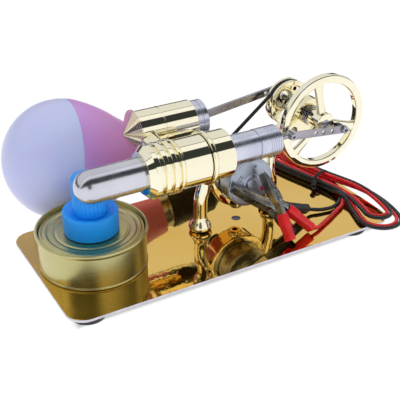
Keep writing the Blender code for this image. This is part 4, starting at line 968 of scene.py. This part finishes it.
def make_clip(colour, clip, look, slot):
    turn = clip_frame(clip)
    reach = (Vector(clip["tip"]) - Vector(clip["pivot"])).length
    for half in ("upper", "lower"):
        angle, length = handle_angle(clip, half)
        side = 1 if angle > 0 else -1
        outer = 1.95 if side > 0 else 1.55
        pivot = clip["pivot"]
        metal = solid("jaw", extruded_shape(jaw_outline(reach, side), -outer, outer, 0.12), pivot, turn)
        hollow = extruded_shape([(-0.9 * reach, side * -0.5), (4, side * -0.5), (4, side * 1.6),
                                 (-0.5 * reach, side * 1.5),
                                 (-0.9 * reach, side * 0.5)], -outer + 0.45, outer - 0.45)
        bar_turn = turn @ Matrix.Rotation(angle, 3, "Z")
        bar = extruded_shape([(-0.6, -1.15), (3.0, -1.25), (8.0, -1.05), (14.5, -0.95), (14.5, 0.95),
                              (8.0, 1.05),
                              (3.0, 1.25), (-0.6, 1.15)], -outer + 0.1, outer - 0.1, 0.3)
        trough = extruded_shape([(1.5, -side * 3.0), (13.0, -side * 3.0), (13.0, side * 0.55),
                                 (1.5, side * 0.55)],
                                -outer + 0.6, outer - 0.6)
        carved(metal, [solid("bar", bar, pivot, bar_turn)],
               [solid("hollow", hollow, pivot, turn), solid("trough", trough, pivot, bar_turn),
                solid("pin_hole", turned_shape([(0, -4), (0.7, -4), (0.7, 4), (0, 4)], SMALL), pivot, turn)])
        show(metal, NICKEL, f"{colour}_clip_{half}")
        boot_sections = [(7.0, 1.75, 1.95), (7.3, 1.95, 2.15), (9.5, 2.15, 2.35), (12.5, 2.2, 2.4),
                         (15.0, 1.95, 2.3),
                         (length - 4.0, 1.85, 2.3), (length - 1.0, 1.95, 2.4), (length, 1.85, 2.3)]
        rings = [[Vector((x, y, z)) for y, z in rounded_rectangle(2 * h, 2 * w, 0.9, 5, True)]
                 for x, h, w in boot_sections]
        boot = solid("boot", lofted_shape(rings), pivot, bar_turn)
        for low, high, h, w in ((5.0, 15.5, 1.25, 1.85), (length - 4.0, length + 1.0, 1.35, 1.8)):
            well = [[Vector((x, y, z)) for y, z in rounded_rectangle(2 * h, 2 * w, 0.5, 4, True)]
                    for x in (low, high)]
            carved(boot, cuts=[solid("well", lofted_shape(well), pivot, bar_turn)])
        show(boot, look, f"{colour}_boot_{half}")
    pin = turned_shape([(0, -2.35), (1.0, -2.35, 0.25), (1.0, -2.0), (0.68, -2.0), (0.68, 2.0), (1.0, 2.0),
                        (1.0, 2.35, 0.25), (0, 2.35)], SMALL)
    show(solid(colour + "_clip_pin", pin, clip["pivot"], turn), STEEL, colour + "_clip_pin", "root", "nickel")
    coil = [Vector((1.15 * math.cos(a), 1.15 * math.sin(a), -1.1 + 2.2 * a / (10 * math.pi)))
            for a in (10 * math.pi * i / 120 for i in range(121))]
    spring = solid(colour + "_clip_spring", swept_shape(coil, 0.2, 8, flat=(0, 0, 1)), clip["pivot"], turn)
    show(spring, DARK_STEEL, colour + "_clip_spring", "root", "dark_steel")


# ---------------------------------------------------------------- free wires

BLACK_LEAD = [(135.5, 24.6, 2.7), (138.0, 24.4, 2.0), (141.3, 23.0, 1.6), (144.6, 22.2, 1.4),
              (148.5, 21.8, 1.4),
              (152.2, 22.8, 1.5), (155.2, 24.6, 1.6)]
RED_LEAD = [(127.4, 9.3, 2.3), (130.6, 9.6, 1.6), (134.1, 11.1, 1.4), (138.2, 13.0, 1.4), (142.5, 15.0, 1.4),
            (147.0, 17.4, 1.4), (151.0, 19.4, 1.4), (154.0, 20.9, 1.4)]
# From each lead through the hank to the tie
BLACK_TO_TIE = [(158.6, 27.4, 1.5), (162.0, 31.2, 1.4), (164.4, 36.2, 1.4), (165.2, 41.5, 1.4)]
RED_TO_TIE = [(157.4, 24.2, 1.5), (160.6, 28.8, 1.4), (162.6, 33.6, 1.4), (163.3, 39.4, 1.4)]
# Middle line of the hank, from its top end to its bottom end, and the point of it that the tie holds
HANK_LINE = [(154.7, 85.2), (154.9, 77.0), (156.2, 68.0), (158.4, 58.0), (161.0, 48.0), (163.6, 39.0),
             (165.6, 30.0),
             (166.4, 20.0), (165.2, 10.0), (162.6, 1.0), (159.4, -7.6)]
TIE_PLACE = 4
LAYER = 1.95  # height of one wire over the one below it
LOWEST = 1.3  # height of the bottom layer's centre line
TOP_RADIUS = 5.0  # half the hank's width at its top end
TIE_HALF = 3.9  # and where the tie holds it
LAMP_END = [(159.6, 82.6, 4.2), (157.4, 86.2, 2.7), (153.8, 88.1, 1.0), (151.0, 89.1, -0.9),
            (147.5, 89.3, -1.8),
            (144.0, 88.8, -1.0), (141.0, 88.2, 0.8), (138.0, 87.9, 3.0), (135.0, 87.8, 4.6),
            (132.2, 87.9, 5.4)]


def hank_line():
    """The hank's middle line as points with their distance from the top end, and the tie's distance."""
    per_span = 8
    points = smooth([(x, y, 0) for x, y in HANK_LINE], per_span)
    run = [0.0]
    for a, b in zip(points, points[1:]):
        run.append(run[-1] + (b - a).length)
    return points, run, run[TIE_PLACE * per_span]


def hank_place(line, along, lateral, z):
    """The place along the hank's middle line and lateral millimetres to the right of it."""
    points, run, _ = line
    along = min(max(along, 0.0), run[-1] - 1e-6)
    k = max(i for i in range(len(run)) if run[i] <= along)
    share = (along - run[k]) / (run[k + 1] - run[k])
    way = (points[k + 1] - points[k]).normalized()
    place = points[k].lerp(points[k + 1], share)
    return Vector((place.x - way.y * lateral, place.y + way.x * lateral, z))


def eased(t):
    t = min(max(t, 0.0), 1.0)
    return t * t * (3 - 2 * t)


def half_width(line, along, bottom, end):
    """Half the hank's width: TOP_RADIUS at the top, TIE_HALF at the tie and bottom towards the bottom end."""
    tie = line[2]
    if along < tie:
        return TOP_RADIUS + (TIE_HALF - TOP_RADIUS) * eased(along / tie)
    return TIE_HALF + (bottom - TIE_HALF) * eased((along - tie) / (end - tie))


def hank_route(lead, inset):
    """One wire's route: its lead, two and a half turns of the hank, and the run to the lamp holder.

    Inset is how far its centre line lies inside the outer wire's.
    """
    line = hank_line()
    tie, length = line[2], line[1][-1]
    route = [Vector(p) for p in lead]
    turns = [(10.6, length - 0.4), (6.8, length - 7.0)]
    for turn, (bottom, end) in enumerate(turns):
        z, above = LOWEST + LAYER * turn, LOWEST + LAYER * (turn + 1)
        top = TOP_RADIUS - inset
        centre = TOP_RADIUS + 1.6 * turn
        for i in range(10):  # up the right side
            along = tie + (centre - tie) * (i + 0.5) / 10
            route.append(hank_place(line, along, half_width(line, along, bottom, end) - inset, z))
        for i in range(9):  # round the top end
            angle = math.pi * i / 8
            route.append(hank_place(line, centre - top * math.sin(angle), top * math.cos(angle), z))
        turning = end - bottom
        for i in range(22):  # down the left side, over the leads
            along = centre + (turning - centre) * (i + 1) / 23
            hump = LAYER * eased(1 - abs(along - tie - 21.0) / 13.0) if turn == 0 else 0.0
            route.append(hank_place(line, along, inset - half_width(line, along, bottom, turning), z + hump))
        radius = bottom - inset
        for i in range(11):  # round the bottom end
            angle = math.pi * i / 10
            route.append(hank_place(line, turning + radius * math.sin(angle), -radius * math.cos(angle), z))
        for i in range(12):  # up the right side to the tie, rising on the way
            along = turning + (tie - turning) * (i + 1) / 13
            rise = (above - z) * eased((i + 1) / 8)
            route.append(hank_place(line, along, half_width(line, along, bottom, turning) - inset, z + rise))
    z = LOWEST + LAYER * len(turns)
    for i in range(8):
        along = tie + (8.0 - tie) * (i + 0.5) / 8
        route.append(hank_place(line, along, half_width(line, along, TIE_HALF, length) - inset, z))
    shift = WIRE_DIAMETER / 2 + 0.05 - inset
    for k, point in enumerate(LAMP_END):
        place = Vector(point)
        before, after = Vector(LAMP_END[max(k - 1, 0)]), Vector(LAMP_END[min(k + 1, len(LAMP_END) - 1)])
        way = (after - before).to_2d().normalized()
        route.append(place + Vector((way.y, -way.x, 0)) * shift)
    return smooth(route, 3)


def make_wire(name, route, look, nodes):
    """A free wire along route, on the root body."""
    curve = bpy.data.curves.new(name, "CURVE")
    curve.dimensions = "3D"
    curve.bevel_depth = WIRE_DIAMETER / 2 * MM
    curve.bevel_resolution = 4
    curve.use_fill_caps = True
    spline = curve.splines.new("POLY")
    spline.points.add(len(route) - 1)
    for place, point in zip(spline.points, route):
        place.co = (*at(point), 1.0)
    spline.use_smooth = True
    curve.materials.append(look)
    wire = bpy.data.objects.new(name, curve)
    bpy.context.scene.collection.objects.link(wire)
    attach(wire, "root")
    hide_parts(*nodes)


def make_tie():
    """Twisted wire tie round the hank, with its two ends twisted together on the left."""
    line = hank_line()
    band = [hank_place(line, line[2] + 0.6 * math.sin(a),
                       (TIE_HALF + 1.7) * math.cos(a) * (1.0 - 0.1 * abs(math.sin(a))),
                       3.4 + 3.35 * math.sin(a)) for a in (2 * math.pi * i / 40 for i in range(40))]
    tie = solid("hank_tie", swept_shape(band, 0.75, 10, True))
    tails = []
    for k in range(2):
        tail = []
        for i in range(25):
            t = i / 24
            twist = 3.0 * math.pi * t + math.pi * k
            spread = 0.75 * (1 + 1.4 * max(0.0, t - 0.7))
            tail.append(hank_place(line, line[2] + 1.0 + 2.4 * t + spread * math.cos(twist),
                                   -TIE_HALF - 1.9 - 4.6 * t,
                                   3.2 + 1.4 * t - 2.2 * t * t + spread * math.sin(twist)))
        tails.append(solid("tail", swept_shape(tail, 0.72, 8, flat=(0, 0, 1))))
    carved(tie, tails)
    return show(tie, BLACK_PVC, "hank_tie", "root", "black_pvc")


def make_wires():
    tie = make_tie()
    make_wire("black_wire", hank_route(BLACK_LEAD + BLACK_TO_TIE, 0.0), BLACK_PVC,
              ("black_lead", "cord_hank", "lamp_cord"))
    make_wire("red_wire", hank_route(RED_LEAD + RED_TO_TIE, WIRE_DIAMETER + 0.1), RED_PVC,
              ("red_lead", "cord_hank", "lamp_cord"))


# ---------------------------------------------------------------- studio

def make_floor():
    """White table top that is dark under the plate, as a contact shadow is."""
    low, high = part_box("base_plate")
    middle = {"X": (low.x + high.x) / 2, "Y": (low.y + high.y) / 2}
    shape = bmesh.new()
    bmesh.ops.create_grid(shape, x_segments=1, y_segments=1, size=6.0)
    mesh = bpy.data.meshes.new("floor")
    shape.to_mesh(mesh)
    shape.free()
    floor = bpy.data.objects.new("floor", mesh)
    look = bpy.data.materials.new("floor")
    look.use_nodes = True
    shader = look.node_tree.nodes["Principled BSDF"]
    shader.inputs["Base Color"].default_value = (0.03, 0.03, 0.03, 1)
    shader.inputs["Roughness"].default_value = 0.9
    shader.inputs["Specular IOR Level"].default_value = 0.0
    shader.inputs["Emission Color"].default_value = (1, 1, 1, 1)
    way = add(look.node_tree, "ShaderNodeSeparateXYZ",
              {0: add(look.node_tree, "ShaderNodeTexCoord").outputs["Object"]})
    shade = None
    for side, reach in (("X", PLATE_LENGTH / 2 * MM), ("Y", PLATE_DEPTH / 2 * MM)):
        off = add(look.node_tree, "ShaderNodeMath", {0: way.outputs[side], 1: middle[side]},
                  operation="SUBTRACT")
        off = add(look.node_tree, "ShaderNodeMath", {0: off.outputs[0]}, operation="ABSOLUTE")
        light = ranged(look.node_tree, off.outputs[0], 0.1, 1, reach - 6 * MM, reach - 2 * MM)
        shade = light if shade is None else add(look.node_tree, "ShaderNodeMath", {0: shade, 1: light},
                                                operation="MAXIMUM").outputs[0]
    look.node_tree.links.new(shade, shader.inputs["Emission Strength"])
    mesh.materials.append(look)
    bpy.context.scene.collection.objects.link(floor)


def make_world():
    """White studio that the camera sees as plain white.

    Polished pieces also reflect its dark parts: a strip overhead in front, a thin line behind it, the far
    horizon and the viewer's own place. Behind the line the white is dimmer.
    """
    world = bpy.data.worlds.new("studio")
    bpy.context.scene.world = world
    world.use_nodes = True
    tree = world.node_tree
    way = add(tree, "ShaderNodeSeparateXYZ", {0: add(tree, "ShaderNodeTexCoord").outputs["Generated"]})
    up, back = way.outputs["Z"], way.outputs["Y"]

    def product(*values):
        total = values[0]
        for value in values[1:]:
            total = add(tree, "ShaderNodeMath", {0: total, 1: value}, operation="MULTIPLY").outputs[0]
        return total

    # angle over the table in the plane across the cylinders: 0 in front, 90 overhead, 180 behind
    towards_front = add(tree, "ShaderNodeMath", {0: back, 1: -1.0}, operation="MULTIPLY").outputs[0]
    angle = add(tree, "ShaderNodeMath", {0: up, 1: towards_front}, operation="ARCTAN2").outputs[0]
    angle = add(tree, "ShaderNodeMath", {0: angle}, operation="DEGREES").outputs[0]
    strip = product(ranged(tree, angle, 0, 1, 37, 40), ranged(tree, angle, 1, 0, 76, 79))
    line = product(ranged(tree, angle, 0, 1, 103, 104), ranged(tree, angle, 1, 0, 106, 107))
    horizon = product(ranged(tree, up, 1, 0, 0.16, 0.30), ranged(tree, back, 0, 1, 0.05, 0.30))
    aside = add(tree, "ShaderNodeVectorMath", {0: add(tree, "ShaderNodeTexCoord").outputs["Generated"],
                                               1: (-0.42, -0.81, 0.41)},
                operation="DISTANCE").outputs["Value"]
    viewer = ranged(tree, aside, 0.9, 0, 0.20, 0.30)
    dark = strip
    for part in (line, horizon, viewer):
        dark = add(tree, "ShaderNodeMath", {0: dark, 1: part}, operation="MAXIMUM").outputs[0]
    dim = product(ranged(tree, angle, 0, 1, 107, 108), ranged(tree, angle, 1, 0, 172, 178))
    white = add(tree, "ShaderNodeMix", {"Factor": dim}, data_type="RGBA")
    white.inputs["A"].default_value = (1.0, 1.0, 1.0, 1)
    white.inputs["B"].default_value = (0.80, 0.80, 0.80, 1)
    colour = add(tree, "ShaderNodeMix", {"Factor": dark}, data_type="RGBA")
    tree.links.new(white.outputs["Result"], colour.inputs["A"])
    colour.inputs["B"].default_value = (0.035, 0.04, 0.038, 1)
    seen = add(tree, "ShaderNodeMix", {"Factor": add(tree, "ShaderNodeLightPath").outputs["Is Camera Ray"]},
               data_type="RGBA")
    tree.links.new(colour.outputs["Result"], seen.inputs["A"])
    seen.inputs["B"].default_value = (1.0, 1.0, 1.0, 1)
    background = tree.nodes["Background"]
    tree.links.new(seen.outputs["Result"], background.inputs["Color"])
    background.inputs["Strength"].default_value = 1.0


def make_lights():
    """Soft boxes that light the matt pieces and don't show as spots in the polished ones."""
    for name, place, size, power in (("key", (-0.5, -0.9, 1.1), 0.9, 4.0),
                                     ("top", (0.2, 0.3, 1.3), 1.2, 3.0)):
        data = bpy.data.lights.new(name, "AREA")
        data.size = size
        data.energy = power
        light = bpy.data.objects.new(name, data)
        light.location = place
        light.rotation_euler = (-Vector(place)).to_track_quat("-Z", "Y").to_euler()
        light.visible_glossy = False
        bpy.context.scene.collection.objects.link(light)


bpy.context.scene.view_settings.view_transform = "Standard"
make_camera()
make_wires()
make_base()
make_stand()
make_bearing_bracket()
make_crankshaft()
make_belt()
make_displacer_side()
make_power_side()
make_bridge()
make_generator()
make_burner()
make_lamp()
make_clip("black", BLACK_CLIP, BLACK_PVC, "black_pvc")
make_clip("red", RED_CLIP, RED_PVC, "red_pvc")
make_floor()
make_world()
make_lights()
